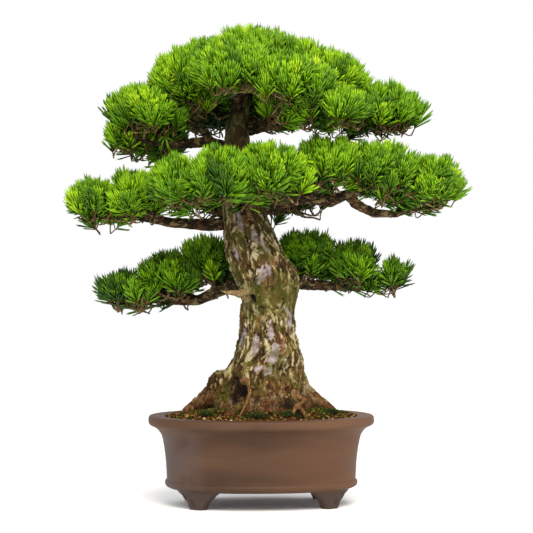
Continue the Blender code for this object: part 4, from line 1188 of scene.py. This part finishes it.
# %% [markdown]
# ## Twigs
# Bare twigs fork from the boughs and carry the shoots from below. They show under each pad as a
# fan of thin, bent, tan and grey lines. The shoots are gathered in small groups, one twig goes
# from the nearest place on a bough to each group, and from there one goes to each shoot. A twig
# is a curve with a round section, turned into a mesh.

# %% Twigs from the boughs to the shoots
GROUP_WIDE = 46 * MM
SHOOT_LOW = 15 * MM          # from a shoot's foot down to its lower end


def nearest_wood(point):
    """The nearest place on a bough or the trunk, a little under its surface."""
    found = min((tree.find_nearest(point) for tree in WOOD), key=lambda hit: hit[3])
    return found[0] - found[1] * 1.5 * MM


def bent_way(start, end, rng, sag):
    """Four points of a twig that leaves level, sags a little and turns up to its end."""
    way = end - start
    points = [start]
    for share in (0.35, 0.72):
        aside = Vector([rng.gauss(0, 0.06) for _ in range(3)]) * way.length
        points.append(start + way * share + aside - UP * sag * way.length)
    return points + [end]


def group_shoots(shoots):
    """Shoots in groups that stand within one square of a level grid."""
    groups = {}
    for shoot in shoots:
        key = tuple(int(c // GROUP_WIDE) for c in shoot[0][:2])
        groups.setdefault(key, []).append(shoot)
    return groups.values()


def add_twig(curve, points, thick, thin):
    strand = curve.splines.new("POLY")
    strand.points.add(len(points) - 1)
    for i, (target, point) in enumerate(zip(strand.points, points)):
        target.co = (*point, 1.0)
        target.radius = thick + (thin - thick) * i / (len(points) - 1)


def twigs_for(name, shoots, rng):
    """All the twigs of one pad as one mesh."""
    curve = bpy.data.curves.new(name, "CURVE")
    curve.dimensions = "3D"
    curve.bevel_depth = MM
    curve.bevel_resolution = 1
    curve.use_fill_caps = True
    for group in group_shoots(shoots):
        ends = [foot - way * SHOOT_LOW for foot, way, _, _ in group]
        middle = sum(ends, Vector()) / len(ends) - UP * 7 * MM
        root = nearest_wood(middle)
        add_twig(curve, bent_way(root, middle, rng, 0.08), 2.3, 1.5)
        for end in ends:
            add_twig(curve, bent_way(middle, end, rng, 0.05), 1.35, 1.05)
    twigs = bpy.data.objects.new(name, curve)
    bpy.context.scene.collection.objects.link(twigs)
    select_only(twigs)
    bpy.ops.object.convert(target="MESH")
    bpy.ops.object.mode_set(mode="EDIT")
    bpy.ops.mesh.select_all(action="SELECT")
    bpy.ops.mesh.remove_doubles(threshold=0.001 * MM)
    bpy.ops.mesh.normals_make_consistent(inside=False)
    bpy.ops.object.mode_set(mode="OBJECT")
    bpy.ops.object.shade_smooth()
    return twigs


twig_bark, tree, shader = new_material("bare_pine_twigs", roughness=0.85, shine=DULL)
place = add(tree, "TexCoord", output="Object")
scales = add(tree, "TexNoise", {}, {"Vector": place, "Scale": 260.0, "Detail": 4.0})
tan = add(tree, "ValToRGB", {"stops": ((0.3, "2c2114"), (0.5, "62502f"), (0.7, "95825c"))},
          {"Fac": scales})
tree.links.new(tan, shader.inputs["Base Color"])
rough_twig = add(tree, "Bump", {}, {"Height": scales, "Strength": 0.6, "Distance": 0.6 * MM})
tree.links.new(rough_twig, shader.inputs["Normal"])
rng = random.Random(31)
for node in PADS:
    name = node.replace("foliage", "twigs")
    settle(twigs_for(name, SHOOTS[node], rng), name, twig_bark, "twig_bark")

# %% [markdown]
# Pine needles are a waxy green. A pinched pine in strong light is yellow green on top and a
# darker, bluer green inside, and each needle leaves an orange brown sheath at the bud. The number
# along a needle gives its sheath and its tip, and its tone gives how yellow it is. That light and
# shade is painted into the tone: lighter high on a pad and on the crown's left pad, darker on a
# pad's underside, in its second layer and on the pads in shade, with a random part for each.

# %% Needle finish
waxy, tree, shader = new_material("pine_needles", roughness=0.5, shine=0.2)
tone = add(tree, "Attribute", {"attribute_name": "tone"}, output="Fac")
along = add(tree, "Attribute", {"attribute_name": "along"}, output="Fac")
greens = add(tree, "ValToRGB", {"stops": (
    (0.00, "1d3a0a"), (0.25, "375c0a"), (0.50, "5a880a"), (0.72, "78a60a"), (0.90, "92ba10"),
    (1.00, "a8c826"))}, {"Fac": tone})
length = add(tree, "ValToRGB", {"stops": (
    (0.00, "9a5418"), (0.05, "987026"), (0.14, "98a858"), (0.30, "ffffff"), (0.90, "ffffff"),
    (1.00, "e8e0b0"))}, {"Fac": along})
colour = add(tree, "MixRGB", {"blend_type": "MULTIPLY"},
             {"Fac": 1.0, "Color1": greens, "Color2": length})
sheath = add(tree, "MapRange", {}, {"Value": along, "From Min": 0.13, "From Max": 0.05}, 0)
colour = add(tree, "MixRGB", {}, {"Fac": sheath, "Color1": colour, "Color2": lin("8a4c14")})
is_stem = add(tree, "Math", {"operation": "LESS_THAN"}, {0: along, 1: -0.2})
bark_or_bud = add(tree, "MapRange", {}, {"Value": along, "From Min": -0.9, "From Max": -0.6}, 0)
stem_colour = add(tree, "MixRGB", {}, {"Fac": bark_or_bud, "Color1": lin("4a3822"),
                                       "Color2": lin("a2501a")})
colour = add(tree, "MixRGB", {}, {"Fac": is_stem, "Color1": colour, "Color2": stem_colour})
tree.links.new(colour, shader.inputs["Base Color"])
MOST_TRIANGLES = 190000


def triangles_of(shape):
    return int((shape["totals"] - 2).sum())


made_needles = 0
for node in PADS:
    shoots = SHOOTS[node]
    weights = [triangles_of(TUFTS[kind]) for _, _, kind, _ in shoots]
    parts = math.ceil(sum(weights) / MOST_TRIANGLES)
    shoots.sort(key=lambda shoot: shoot[0].x)
    for part in range(parts):
        chosen = shoots[len(shoots) * part // parts:len(shoots) * (part + 1) // parts]
        places = [place_at(foot, way, rng.uniform(0, 6.28), rng.uniform(0.88, 1.05))
                  for foot, way, _, _ in chosen]
        shape = copies(TUFTS, [kind for _, _, kind, _ in chosen], places,
                       [tone for _, _, _, tone in chosen])
        name = node.replace("foliage", "needles") + ("_" + "abcdef"[part] if parts > 1 else "")
        made_needles += triangles_of(shape)
        settle(write_shape(name, shape), name, waxy, "needles", node)
print("needle triangles", made_needles)
